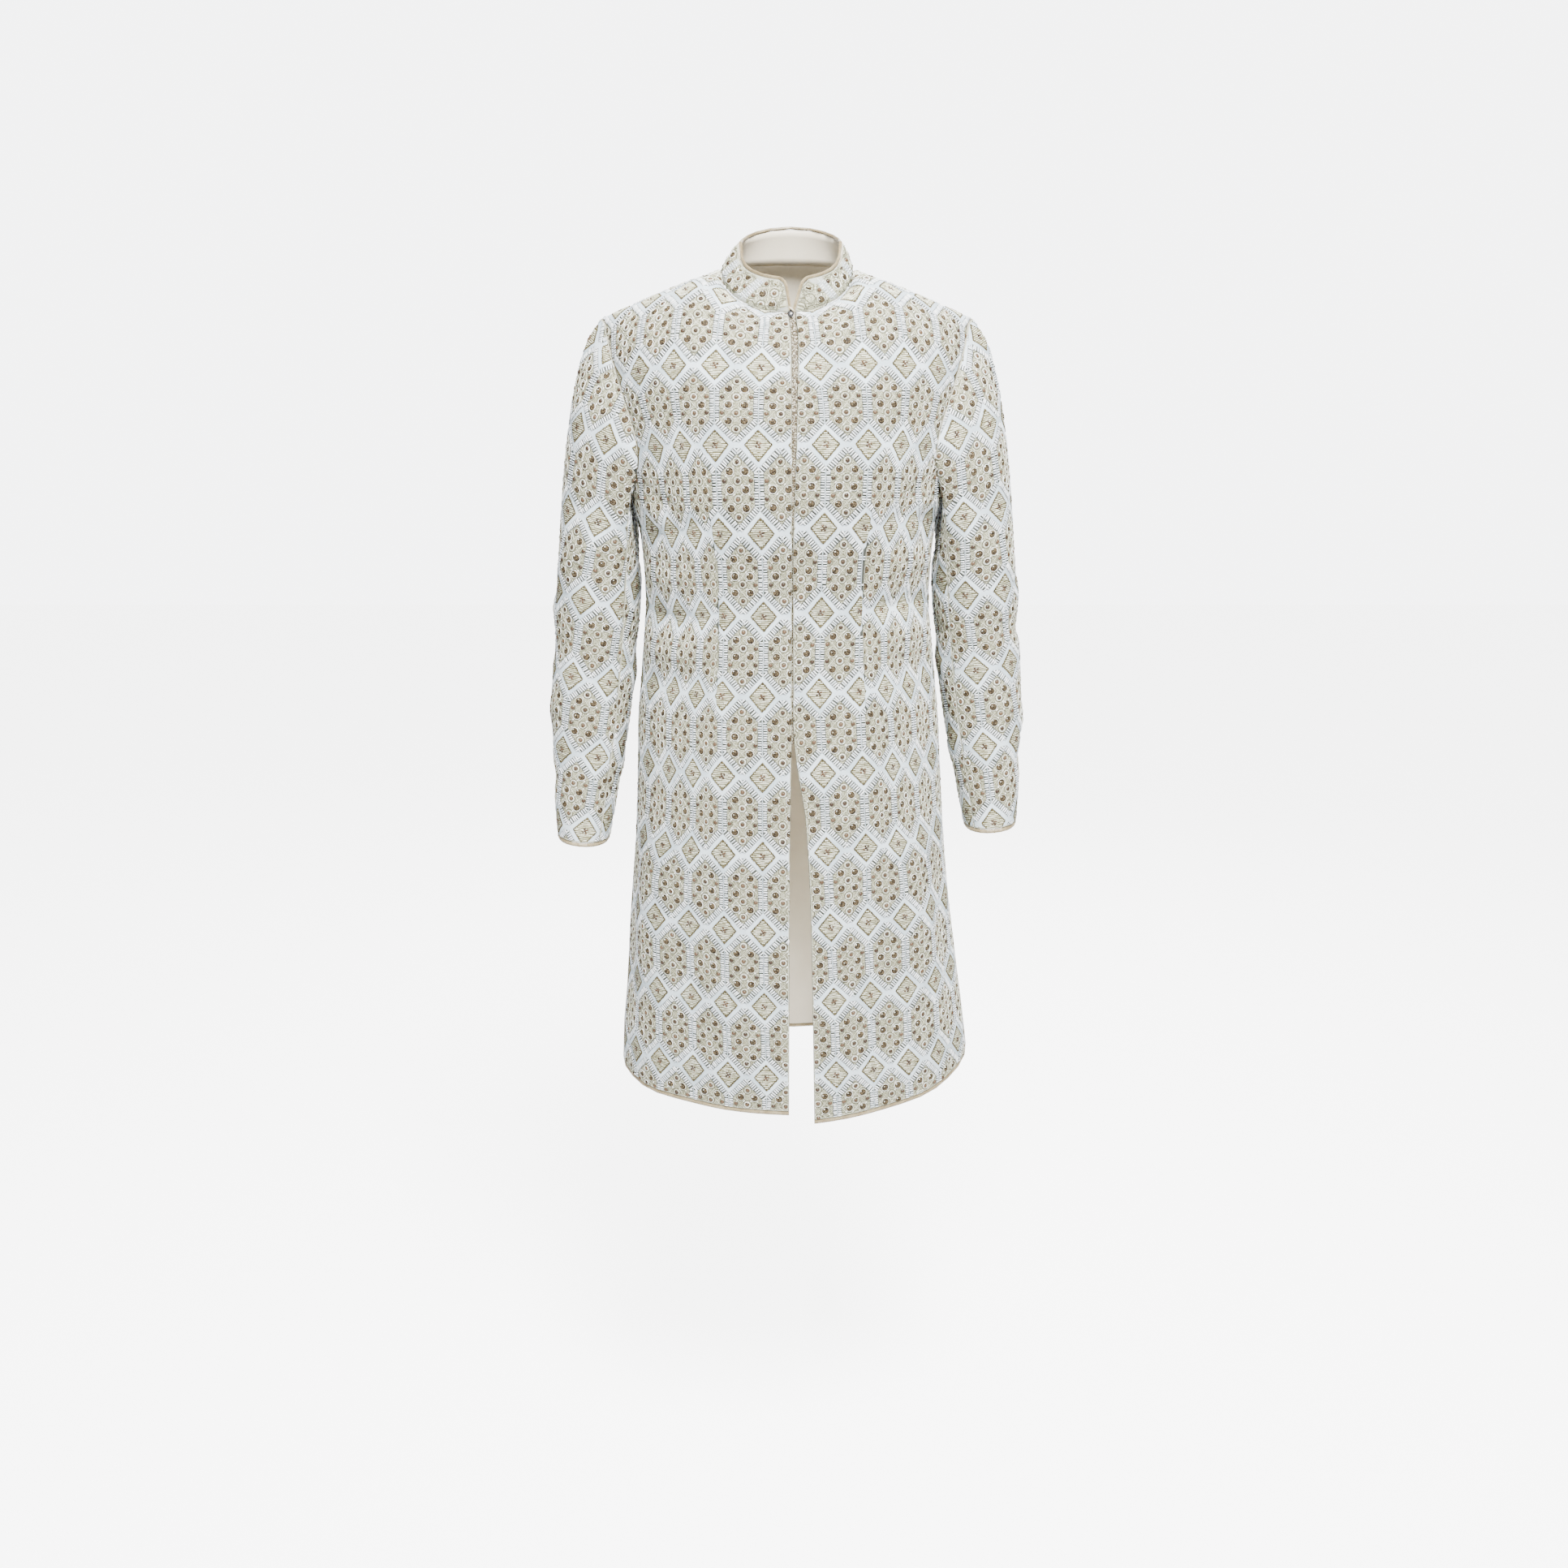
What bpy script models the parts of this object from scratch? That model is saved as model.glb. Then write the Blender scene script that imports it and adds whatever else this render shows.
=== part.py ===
"""Sherwani coat, worn and hollow: panels, two-piece sleeves, stand collar, bindings, hook and eye.

Lengths in the tables are millimetres; meshes are made in metres. +Z is up, the front faces -Y.
The origin is the middle of the neck opening at the height of the neck base.
"""

import math

import bpy
import bmesh
import numpy as np

# ---- driving sizes, mm ----
metre = 0.001
panel_wall = 2.0
collar_wall = 1.6
facing_wall = 1.1
seam_gap = 0.3
layer_gap = 0.5
underlap_wall = 1.4
underlap_gap = 0.6
section_power_front = 2.4
section_power_back = 2.3
section_power_ease = 0.32
section_ease_z = (-450.0, -900.0)
side_seam_y = 5.0
armpit_z = -228.0
neck_half_width = 73.5
neck_centre_y = 2.0
neck_front_depth = 64.0
neck_back_depth = 58.0
neck_front_z = -30.0
neck_side_z = 18.0
neck_back_z = 30.0
shoulder_tip_x = 207.0
shoulder_tip_y = 5.0
shoulder_tip_z = -32.0
shoulder_hollow = -1.5
upper_centre_x = -2.8
neck_share = 0.30
armhole_front_depth = 68.0
armhole_front_skew = 0.6
armhole_back_depth = 62.0
armhole_back_skew = 0.3
vent_top_z = -612.0
binding_width = 5.0
binding_thickness = 3.2
vent_step_back = 1.2
vent_opening = 2.4
dart_column = 6
dart_depth = 1.4
dart_span = (-450.0, -240.0)
collar_top_half_width = 57.5
collar_top_centre = (1.0, 1.0)
collar_top_front_depth = 51.0
collar_top_back_depth = 50.0
collar_top_front_z = 5.0
collar_top_side_z = 47.0
collar_top_back_z = 66.0
collar_corner_radius = 9.0
collar_bulge = 1.2
collar_rows = 5
collar_notch_top = (10.5, 8.5)
collar_piping_size = (3.4, 3.4)
cuff_shift = 8.5
sleeve_centre_x = -3.0
skirt_fold_depth = 7.0
skirt_fold_turns = 9.0
skirt_fold_z = (-560.0, -940.0)
chest_fullness = 3.0
underlap_x = (-13.0, 20.0)
underlap_bottom_z = -492.0
underlap_columns = 5
sleeve_power = 2.15
sleeve_tilt = 0.10
cuff_shift_z = (-405.0, -615.0)
eye_half_size = (3.0, 4.2)
eye_wire = 0.75
eye_offset = 1.8
eye_right = 1.6
eye_steps = 16
hook_half_size = (1.25, 0.6)

# height, half width, centre x, front depth, back depth
body_sections = (
    (-960.0, 217.0, 7.5, 132.0, 129.0),
    (-904.0, 216.0, 7.2, 132.0, 129.0),
    (-838.0, 208.0, 5.5, 131.0, 127.0),
    (-772.0, 201.0, 3.4, 130.0, 125.0),
    (-708.0, 194.0, 1.2, 129.0, 122.0),
    (-645.0, 187.5, 0.8, 128.0, 119.0),
    (-553.0, 181.0, 0.0, 124.0, 110.0),
    (-493.0, 178.0, -1.0, 121.0, 101.0),
    (-434.0, 172.5, -1.4, 118.0, 94.0),
    (-376.0, 166.5, -1.9, 116.0, 92.0),
    (-338.0, 164.0, -2.3, 117.0, 93.0),
    (-300.0, 165.0, -2.5, 121.0, 97.0),
    (-262.0, 169.0, -2.7, 127.0, 104.0),
    (-228.0, 176.5, -2.8, 131.0, 111.0),
)

# height, edge of the wearer's right front, edge of the wearer's left front (x)
front_edges = (
    (-960.0, 0.0, 30.5),
    (-700.0, 0.5, 25.0),
    (-600.0, 1.0, 20.0),
    (-563.0, 1.5, 16.5),
    (-520.0, 2.2, 9.0),
    (-470.0, 2.8, 4.2),
    (-265.0, 2.8, 3.6),
    (-222.0, 2.8, 5.3),
    (-140.0, 2.5, 7.6),
    (-60.0, 2.2, 8.6),
    (-30.0, -0.6, 5.6),
)

# hem height at the middle front or back and at the side vents
hem_heights = {
    "front_right": (-937.0, -924.0),
    "front_left": (-950.0, -905.0),
    "back_right": (-940.0, -924.0),
    "back_left": (-940.0, -907.0),
}

# height, outer x, inner x, centre y, half depth
sleeve_rings = (
    (-319.0, 265.5, 170.6, 6.0, 62.0),
    (-361.0, 270.0, 174.2, 8.0, 60.0),
    (-405.0, 275.0, 178.8, 9.0, 58.0),
    (-434.0, 276.6, 182.0, 8.0, 57.0),
    (-463.0, 278.0, 186.0, 5.0, 55.5),
    (-493.0, 278.4, 190.4, 1.0, 53.5),
    (-523.0, 278.0, 195.8, -4.0, 51.0),
    (-553.0, 277.2, 202.0, -10.0, 48.0),
    (-580.0, 276.2, 206.6, -16.0, 45.0),
    (-600.0, 275.2, 210.4, -20.0, 43.5),
    (-615.0, 274.0, 213.2, -23.0, 42.5),
)

low_levels = (-940.0, -890.0, -840.0, -790.0, -740.0, -690.0, -648.0, -612.0, -570.0,
              -525.0, -480.0, -435.0, -392.0, -350.0, -314.0, -284.0, -256.0, -228.0)
front_shares = (0.0, 0.035, 0.09, 0.155, 0.22, 0.285, 0.345, 0.43, 0.53, 0.63, 0.73, 0.83, 0.925, 1.0)
back_shares = (0.0, 0.07, 0.14, 0.21, 0.28, 0.345, 0.43, 0.53, 0.63, 0.73, 0.83, 0.925, 1.0)
front_neck_columns = 6
back_neck_columns = 5
armhole_steps = 12
underlap_high_shares = (0.12, 0.24, 0.36, 0.5, 0.64, 0.78, 0.9)
# distances from the collar's front ends that follow its rounded corners
collar_end_places = (0.0, 1.2, 2.8, 5.2, 8.5)
collar_end_reach = 12.0
# height and forward distance of the hook's points from the middle of the eye
hook_line = ((2.2, 0.0), (1.0, 0.5), (-0.4, 0.6), (-1.8, 0.2), (-2.4, -0.3))
tube_sides = 6
cap_steps = 7
front_seam_step = 3
back_seam_step = 4


def table_at(table, column, key):
    """Smooth value of one named column at a height, by cubic pieces through the table rows."""
    xs = [row[0] for row in table]
    ys = [row[column] for row in table]
    key = min(max(key, xs[0]), xs[-1])
    i = max(0, min(len(xs) - 2, int(np.searchsorted(xs, key)) - 1))

    def slope(k):
        if k == 0:
            return (ys[1] - ys[0]) / (xs[1] - xs[0])
        if k == len(xs) - 1:
            return (ys[-1] - ys[-2]) / (xs[-1] - xs[-2])
        before = (ys[k] - ys[k - 1]) / (xs[k] - xs[k - 1])
        after = (ys[k + 1] - ys[k]) / (xs[k + 1] - xs[k])
        if before * after <= 0:
            return 0.0
        return 2 * before * after / (before + after)

    span = xs[i + 1] - xs[i]
    t = (key - xs[i]) / span
    return (
        (2 * t**3 - 3 * t**2 + 1) * ys[i]
        + (t**3 - 2 * t**2 + t) * span * slope(i)
        + (3 * t**2 - 2 * t**3) * ys[i + 1]
        + (t**3 - t**2) * span * slope(i + 1)
    )


def unit(v):
    return v / max(np.linalg.norm(v), 1e-12)


def off_zero(t):
    """The same parameter, kept a hair off zero so that it always has a side."""
    return t if t else 1e-9


def ease(t):
    t = min(max(t, 0.0), 1.0)
    return t * t * (3 - 2 * t)


def power(half, z):
    """How square a level section is: rounder towards the hem."""
    full = section_power_front if half < 0 else section_power_back
    start, end = section_ease_z
    return full - section_power_ease * ease((start - z) / (start - end))


def low_point(half, xi, z):
    """Point of the body below the armpits. half is -1 front, +1 back; xi runs -1..1 side to side."""
    angle = abs(xi) * math.pi / 2
    n = power(half, z)
    wide = table_at(body_sections, 1, z)
    centre = table_at(body_sections, 2, z)
    deep = table_at(body_sections, 3 if half < 0 else 4, z)
    reach = deep - half * side_seam_y
    x = centre + math.copysign(wide * math.sin(angle) ** (2 / n), xi)
    y = side_seam_y + half * reach * math.cos(angle) ** (2 / n)
    start, end = skirt_fold_z
    fall = ease((start - z) / (start - end))
    phase = 0.6 * math.copysign(1.0, xi)
    wave = math.sin(angle * skirt_fold_turns + phase) * math.sin(angle) ** 2 * math.cos(angle)
    y += half * skirt_fold_depth * fall * wave
    return np.array([x, y, z])


def top_point(half, xi):
    """Point of the neckline and shoulder seam, from the middle to the shoulder tip."""
    share = abs(xi)
    if share <= neck_share:
        turn = share / neck_share * math.pi / 2
        x = neck_half_width * math.sin(turn)
        deep = neck_front_depth if half < 0 else neck_back_depth
        middle_z = neck_front_z if half < 0 else neck_back_z
        y = neck_centre_y + half * deep * math.cos(turn)
        z = middle_z + (neck_side_z - middle_z) * (1 - math.cos(turn))
    else:
        t = (share - neck_share) / (1 - neck_share)
        along = 0.35 * t + 0.65 * math.sin(t * math.pi / 2)
        x = neck_half_width + (shoulder_tip_x - neck_half_width) * along
        y = neck_centre_y + (shoulder_tip_y - neck_centre_y) * along
        z = neck_side_z + (shoulder_tip_z - neck_side_z) * along
        z -= shoulder_hollow * math.sin(math.pi * along)
    return np.array([upper_centre_x + math.copysign(x, xi), y, z])


def high_point(half, xi, s):
    """Point of the body above the armpits; s runs 0 at the armpit to 1 at the neckline and shoulder."""
    angle = abs(xi) * math.pi / 2
    n = power(half, armpit_z)
    top = top_point(half, xi)
    roundness = 2.0 + 1.0 * ease(abs(xi) / 0.45)
    s = min(max(s, 0.0), 1.0)
    lift = math.pi / 2 * s ** (roundness / 2)
    rise = math.sin(lift) ** (2 / roundness)
    fall = max(math.cos(lift), 0.0) ** (2 / roundness)
    wide = table_at(body_sections, 1, armpit_z)
    wide += (shoulder_tip_x - wide) * rise
    deep = table_at(body_sections, 3 if half < 0 else 4, armpit_z)
    reach = deep - half * side_seam_y
    x = upper_centre_x + math.copysign(wide * math.sin(angle) ** (2 / n), xi)
    y = side_seam_y + half * reach * math.cos(angle) ** (2 / n)
    y += half * chest_fullness * math.sin(math.pi * min(s * 1.3, 1.0)) * math.cos(angle) ** 2
    mix = rise**4
    return np.array([
        x * (1 - mix) + top[0] * mix,
        top[1] + (y - top[1]) * fall,
        armpit_z + (top[2] - armpit_z) * rise,
    ])


def armhole_target(half, step):
    """Where one step of the armhole sits in the side view: (y, z)."""
    beta = math.pi * step / armhole_steps
    middle_z = (armpit_z + shoulder_tip_z) / 2
    half_height = (shoulder_tip_z - armpit_z) / 2
    deep = armhole_front_depth if half < 0 else armhole_back_depth
    skew = armhole_front_skew if half < 0 else armhole_back_skew
    y = side_seam_y + half * deep * math.sin(beta) * (1 + skew * math.cos(beta))
    return y, middle_z - half_height * math.cos(beta)


def armhole_cut(half, step, side):
    """(xi, s) where the armhole crosses the body at one step, found by two nested bisections."""
    if step == 0:
        return 1.0, 0.0
    if step == armhole_steps:
        return 1.0, 1.0
    want_y, want_z = armhole_target(half, step)

    def height_for(xi):
        low, high = 0.0, 1.0
        for _ in range(40):
            s = (low + high) / 2
            if high_point(half, side * xi, s)[2] < want_z:
                low = s
            else:
                high = s
        return (low + high) / 2

    inner, outer = 0.35, 1.0
    for _ in range(40):
        xi = (inner + outer) / 2
        y = high_point(half, side * xi, height_for(xi))[1]
        if half * (y - want_y) > 0:
            inner = xi
        else:
            outer = xi
    xi = (inner + outer) / 2
    return xi, height_for(xi)


def xi_at_x(point_of, x):
    """xi of the point that has this x, on a row given as a function of xi."""
    low, high = -0.5, 0.5
    for _ in range(50):
        xi = (low + high) / 2
        if point_of(off_zero(xi))[0] < x:
            low = xi
        else:
            high = xi
    return (low + high) / 2


def spread(point_of, start, end, shares, trim_end=0.0):
    """Parameters along a row so the points sit at the wanted shares of its length."""
    ts = np.linspace(start, end, 161)
    pts = np.array([point_of(off_zero(t)) for t in ts])
    run = np.concatenate([[0.0], np.cumsum(np.linalg.norm(np.diff(pts, axis=0), axis=1))])
    wanted = np.array(shares) * (run[-1] - trim_end)
    return np.interp(wanted, run, ts)


def edge_setback(z):
    """How far a panel's side edge stands back from the side seam line: closed above the vent."""
    closed = seam_gap / 2
    if z > vent_top_z + 1:
        return closed
    below = vent_top_z - z
    for_binding = (binding_width + seam_gap + vent_step_back) * ease((below + 6) / 36.0)
    return closed + for_binding + vent_opening * ease(below / 320.0)


def hem_lift(panel, share, z):
    """Height of a low row's point: the hem runs between its middle and side heights."""
    middle, side = hem_heights[panel]
    hem = middle + (side - middle) * share**1.15
    base = low_levels[0]
    reach = ease((vent_top_z - z) / (vent_top_z - base)) if z < vent_top_z else 0.0
    return z + (hem - base) * reach


def panel_half(half, side, shares, neck_columns):
    """Outer grid of half the front or back: rows from hem to shoulder, columns middle to side."""
    name = ("front" if half < 0 else "back") + ("_right" if side < 0 else "_left")
    edge_column = 1 if side < 0 else 2
    grid = []
    for level in low_levels:
        def row_point(xi, level=level):
            share = min(abs(xi), 1.0)
            return low_point(half, xi, hem_lift(name, share, level))

        start = 0.0
        if half < 0:
            start = xi_at_x(row_point, table_at(front_edges, edge_column, level))
        ts = spread(row_point, start, side, shares, edge_setback(level))
        grid.append([row_point(off_zero(t)) for t in ts])
    cuts = [armhole_cut(half, k, side) for k in range(armhole_steps + 1)]
    for k in range(1, armhole_steps + 1):
        cut_xi, cut_s = cuts[k]
        even_s = 0.5 * k / armhole_steps + 0.5 * cut_s

        def high_row(u, cut_xi=cut_xi, cut_s=cut_s, even_s=even_s, start=0.0):
            xi = start + (side * cut_xi - start) * u
            s = even_s + (cut_s - even_s) * u**1.2
            return high_point(half, off_zero(xi), s)

        start = 0.0
        if half < 0:
            z_here = high_row(0.0)[2]
            start = xi_at_x(lambda xi: high_point(half, xi, even_s),
                            table_at(front_edges, edge_column, z_here))
        us = spread(lambda u: high_row(u, start=start), 0.0, 1.0, shares)
        top_us = top_shares(side, start, len(shares), neck_columns)
        mix = (k / armhole_steps) ** 2
        us = us * (1 - mix) + top_us * mix
        row = [high_row(u, start=start) for u in us]
        grid.append(row)
    grid = np.array(grid)
    for j in range(neck_columns, len(shares)):
        grid[-1, j, 1] += half * seam_gap / 2
    return grid


def top_shares(side, start, count, neck_columns):
    """Row shares that put one column on the neck point, evenly spaced either side of it."""
    reach = abs(side - start)
    neck_u = abs(side * neck_share - start) / reach
    neck = np.linspace(0.0, 1.0, neck_columns + 1)
    shoulder = np.linspace(0.0, 1.0, count - neck_columns)
    return np.concatenate([neck * neck_u, neck_u + shoulder[1:] * (1 - neck_u)])


def normals_of(grid, flip):
    """Unit normals of a grid of points, from the differences along rows and columns."""
    along = np.gradient(grid, axis=1)
    up = np.gradient(grid, axis=0)
    n = np.cross(along, up)
    n /= np.maximum(np.linalg.norm(n, axis=2, keepdims=True), 1e-12)
    return -n if flip else n


def fix_seam_normals(n, neck_columns, low_count):
    """Keep both walls of a seam parallel, so the gap between them stays even."""
    n[: low_count - 1, -1, 1] = 0.0
    n[-1, neck_columns:, 1] = 0.0
    return n / np.linalg.norm(n, axis=2, keepdims=True)


def add_object(name, verts, faces, material):
    mesh = bpy.data.meshes.new(name)
    mesh.from_pydata([tuple(v * metre) for v in verts], [], faces)
    bm = bmesh.new()
    bm.from_mesh(mesh)
    bmesh.ops.remove_doubles(bm, verts=bm.verts, dist=1e-6)
    bmesh.ops.recalc_face_normals(bm, faces=bm.faces)
    bm.to_mesh(mesh)
    bm.free()
    for polygon in mesh.polygons:
        polygon.use_smooth = True
    mesh.materials.append(material)
    ob = bpy.data.objects.new(name, mesh)
    bpy.context.scene.collection.objects.link(ob)
    return ob


def add_sheet(name, outer, inner, material):
    """Closed sheet between two matching grids."""
    rows, cols = outer.shape[:2]
    verts = list(outer.reshape(-1, 3)) + list(inner.reshape(-1, 3))
    step = rows * cols

    def at(i, j):
        return i * cols + j

    faces = []
    for i in range(rows - 1):
        for j in range(cols - 1):
            a, b, c, d = at(i, j), at(i, j + 1), at(i + 1, j + 1), at(i + 1, j)
            faces.append((a, b, c))
            faces.append((a, c, d))
            faces.append((step + c, step + b, step + a))
            faces.append((step + d, step + c, step + a))
    rim = [at(0, j) for j in range(cols)]
    rim += [at(i, cols - 1) for i in range(1, rows)]
    rim += [at(rows - 1, j) for j in range(cols - 2, -1, -1)]
    rim += [at(i, 0) for i in range(rows - 2, 0, -1)]
    for k, a in enumerate(rim):
        b = rim[(k + 1) % len(rim)]
        if np.linalg.norm(verts[b] - verts[step + a]) < np.linalg.norm(verts[a] - verts[step + b]):
            faces.append((b, a, step + a))
            faces.append((b, step + a, step + b))
        else:
            faces.append((b, a, step + b))
            faces.append((a, step + a, step + b))
    return add_object(name, verts, faces, material)


def add_tube(name, centres, wides, deeps, material, closed=False):
    """Tube along a path. wides and deeps are the two half-axis vectors of its oval at each point."""
    sides = tube_sides
    verts = []
    for c, w, d in zip(centres, wides, deeps):
        for k in range(sides):
            a = 2 * math.pi * (k + 0.5) / sides
            verts.append(c + w * math.cos(a) + d * math.sin(a))
    count = len(centres)
    faces = []
    for i in range(count if closed else count - 1):
        j = (i + 1) % count
        for k in range(sides):
            m = (k + 1) % sides
            faces.append((i * sides + k, i * sides + m, j * sides + m, j * sides + k))
    if not closed:
        faces.append(tuple(range(sides)))
        faces.append(tuple(range((count - 1) * sides, count * sides)))
    return add_object(name, verts, faces, material)


def make_material(name, colour, roughness, metallic):
    mat = bpy.data.materials.new(name)
    mat.use_nodes = True
    shader = mat.node_tree.nodes["Principled BSDF"]
    shader.inputs["Base Color"].default_value = (*colour, 1.0)
    shader.inputs["Roughness"].default_value = roughness
    shader.inputs["Metallic"].default_value = metallic
    mat.diffuse_color = (*colour, 1.0)
    return mat


def bind_edge(name, edge, wall, away, closed=False):
    """Bound edge: an oval cord just past the edge of a wall, given both walls' points on that edge."""
    thick = np.array([unit(a - b) for a, b in zip(edge, wall)])
    wide = np.array([a - t * np.dot(a, t) for a, t in zip(away, thick)])
    centres = (edge + wall) / 2 + away * (binding_width / 2 + seam_gap)
    flat = math.cos(math.pi / tube_sides)
    add_tube(name, centres, wide * binding_width / 2, thick * binding_thickness / 2 / flat,
             binding_cloth, closed)


def edge_away(grid, path):
    """Outward directions along a path of edge places (i, j) of a grid, both ways at a corner."""
    rows, cols = grid.shape[:2]
    out = []
    for i, j in path:
        away = np.zeros(3)
        if i == 0:
            away = away + unit(grid[0, j] - grid[1, j])
        if j == 0 and (i > 0 or (1, 0) in path):
            away = away + unit(grid[i, 0] - grid[i, 1])
        if j == cols - 1:
            away = away + unit(grid[i, -1] - grid[i, -2])
        out.append(away)
    return np.array(out)


for ob in list(bpy.data.objects):
    bpy.data.objects.remove(ob, do_unlink=True)

embroidered = make_material("embroidered_cloth", (0.72, 0.70, 0.64), 0.65, 0.0)
plain = make_material("back_cloth", (0.72, 0.70, 0.64), 0.65, 0.0)
facing_cloth = make_material("facing_cloth", (0.80, 0.76, 0.66), 0.6, 0.0)
binding_cloth = make_material("binding_cloth", (0.66, 0.57, 0.40), 0.45, 0.0)
dark_metal = make_material("dark_metal", (0.05, 0.05, 0.055), 0.35, 1.0)

# ---- front and back panels ----
low_count = len(low_levels)
fronts = {}
for side, name in ((-1, "front_right"), (1, "front_left")):
    outer = panel_half(-1, side, front_shares, front_neck_columns)
    normal = fix_seam_normals(normals_of(outer, side < 0), front_neck_columns, low_count)
    for i in range(outer.shape[0]):
        z = outer[i, dart_column, 2]
        if dart_span[0] < z < dart_span[1]:
            along = (z - dart_span[0]) / (dart_span[1] - dart_span[0])
            outer[i, dart_column] -= normal[i, dart_column] * dart_depth * math.sin(math.pi * along)
    inner = outer - normal * panel_wall
    fronts[side] = (outer, inner, normal)
    add_sheet(name, outer, inner, embroidered)

backs = {}
for side in (-1, 1):
    outer = panel_half(1, side, back_shares, back_neck_columns)
    normal = fix_seam_normals(normals_of(outer, side > 0), back_neck_columns, low_count)
    normal[:, 0, 0] = 0.0
    normal /= np.linalg.norm(normal, axis=2, keepdims=True)
    backs[side] = (outer, outer - normal * panel_wall, normal)
whole_outer = np.concatenate([backs[-1][0][:, :0:-1], backs[1][0]], axis=1)
whole_inner = np.concatenate([backs[-1][1][:, :0:-1], backs[1][1]], axis=1)
add_sheet("back", whole_outer, whole_inner, plain)


# ---- bound hems and vents ----
def bind_hem(name, outer, inner, path):
    edge = np.array([outer[i, j] for i, j in path])
    wall = np.array([inner[i, j] for i, j in path])
    bind_edge(name, edge, wall, edge_away(outer, path))


vent_rows = [i for i, z in enumerate(low_levels) if 0 < i and z < vent_top_z - 20]
for side, name in ((-1, "hem_binding_right"), (1, "hem_binding_left")):
    outer, inner, _ = fronts[side]
    last = outer.shape[1] - 1
    hem = [(0, j) for j in range(last + 1)]
    bind_hem(name, outer, inner, hem + [(i, last) for i in vent_rows])

last = whole_outer.shape[1] - 1
hem = [(0, j) for j in range(last + 1)]
path = [(i, 0) for i in reversed(vent_rows)] + hem + [(i, last) for i in vent_rows]
bind_hem("hem_binding_back", whole_outer, whole_inner, path)


# ---- sleeves ----
def armhole_loop(side):
    """Seam points, wall directions and outward directions round one armhole: tip, front, pit, back."""
    front_outer, front_inner, front_normal = fronts[side]
    back_outer, back_inner, back_normal = backs[side]
    base = low_count - 1
    steps = armhole_steps
    points, walls, normals = [], [], []
    for k in range(steps, -1, -1):
        i = base + k
        points.append(front_outer[i, -1])
        walls.append(front_inner[i, -1] - front_outer[i, -1])
        normals.append(front_normal[i, -1])
    for k in range(1, steps):
        i = base + k
        points.append(back_outer[i, -1])
        walls.append(back_inner[i, -1] - back_outer[i, -1])
        normals.append(back_normal[i, -1])
    points[0] = (points[0] + back_outer[-1, -1]) / 2
    points[steps] = (points[steps] + back_outer[base, -1]) / 2
    walls[0] = walls[0] + back_inner[-1, -1] - back_outer[-1, -1]
    walls[steps] = walls[steps] + back_inner[base, -1] - back_outer[base, -1]
    points, normals = np.array(points), np.array(normals)
    walls = np.array([unit(w) for w in walls])
    tangent = np.roll(points, -1, axis=0) - np.roll(points, 1, axis=0)
    across = np.cross(tangent, normals)
    across = np.array([unit(a) for a in across])
    for k in range(len(points)):
        height = abs(k - steps) / steps
        guide = np.array([side * height, 0.0, 1.0 - height])
        if np.dot(across[k], guide) < 0:
            across[k] = -across[k]
    across[0] = unit(np.array([side * 0.97, 0.0, -0.25]))
    across[steps] = np.array([0.0, 0.0, 1.0])
    return points, walls, normals, across


def ring_point(side, row, turn):
    """Point of a sleeve ring; turn 0 is the outside of the arm, pi/2 the front, pi the inside."""
    z, outer_x, inner_x, y, deep = row
    middle = (outer_x + inner_x) / 2
    half_width = (outer_x - inner_x) / 2
    c, s = math.cos(turn), math.sin(turn)
    p = 2 / sleeve_power
    x = middle + half_width * math.copysign(abs(c) ** p, c)
    start, end = cuff_shift_z
    shift = side * cuff_shift * ease((start - z) / (start - end))
    tilt = sleeve_tilt * (x - middle)
    return np.array([sleeve_centre_x + side * x, y - deep * math.copysign(abs(s) ** p, s),
                     z + shift + tilt])


def cap_point(side, turn, t, start, normal, across):
    """Point of the sleeve cap, on a curve from the armhole at t 0 to the first arm ring at t 1."""
    out_share = (1 + math.cos(turn)) / 2
    level = math.sin(turn) ** 2
    lead = np.array([side * 0.76, 0.0, -0.65]) * out_share
    lead += np.array([side * 0.10, 0.0, -1.0]) * (1 - out_share)
    lead += np.array([side * 0.35, -0.12 * math.sin(turn), 0.25]) * level
    end = ring_point(side, sleeve_rings[0], turn)
    span = np.linalg.norm(end - start)
    back_off = max(0.0, -np.dot(across, unit(lead)))
    lead = unit(unit(lead) + normal * 0.4 * back_off)
    lead = lead * span * (0.55 + 0.1 * level)
    arrive = np.array([side * 0.09, 0.02, -1.0]) * span * (0.9 if out_share > 0.5 else 0.85)
    return (
        (2 * t**3 - 3 * t**2 + 1) * (start + normal * 0.6 * back_off)
        + (t**3 - 2 * t**2 + t) * lead
        + (3 * t**2 - 2 * t**3) * end
        + (t**3 - t**2) * arrive
    )


def add_sleeve_piece(name, outer, inner, indices):
    """One of the two lengthwise pieces of a sleeve, with half a seam gap cut off each long edge."""
    count = outer.shape[1]
    wall_out = np.stack([outer[:, k % count] for k in indices], axis=1)
    wall_in = np.stack([inner[:, k % count] for k in indices], axis=1)
    for edge, beside in ((0, 1), (-1, -2)):
        along = wall_out[:, beside] - wall_out[:, edge]
        along /= np.linalg.norm(along, axis=1, keepdims=True)
        wall_out[:, edge] += along * seam_gap / 2
        wall_in[:, edge] += along * seam_gap / 2
    add_sheet(name, wall_out, wall_in, embroidered)


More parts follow.
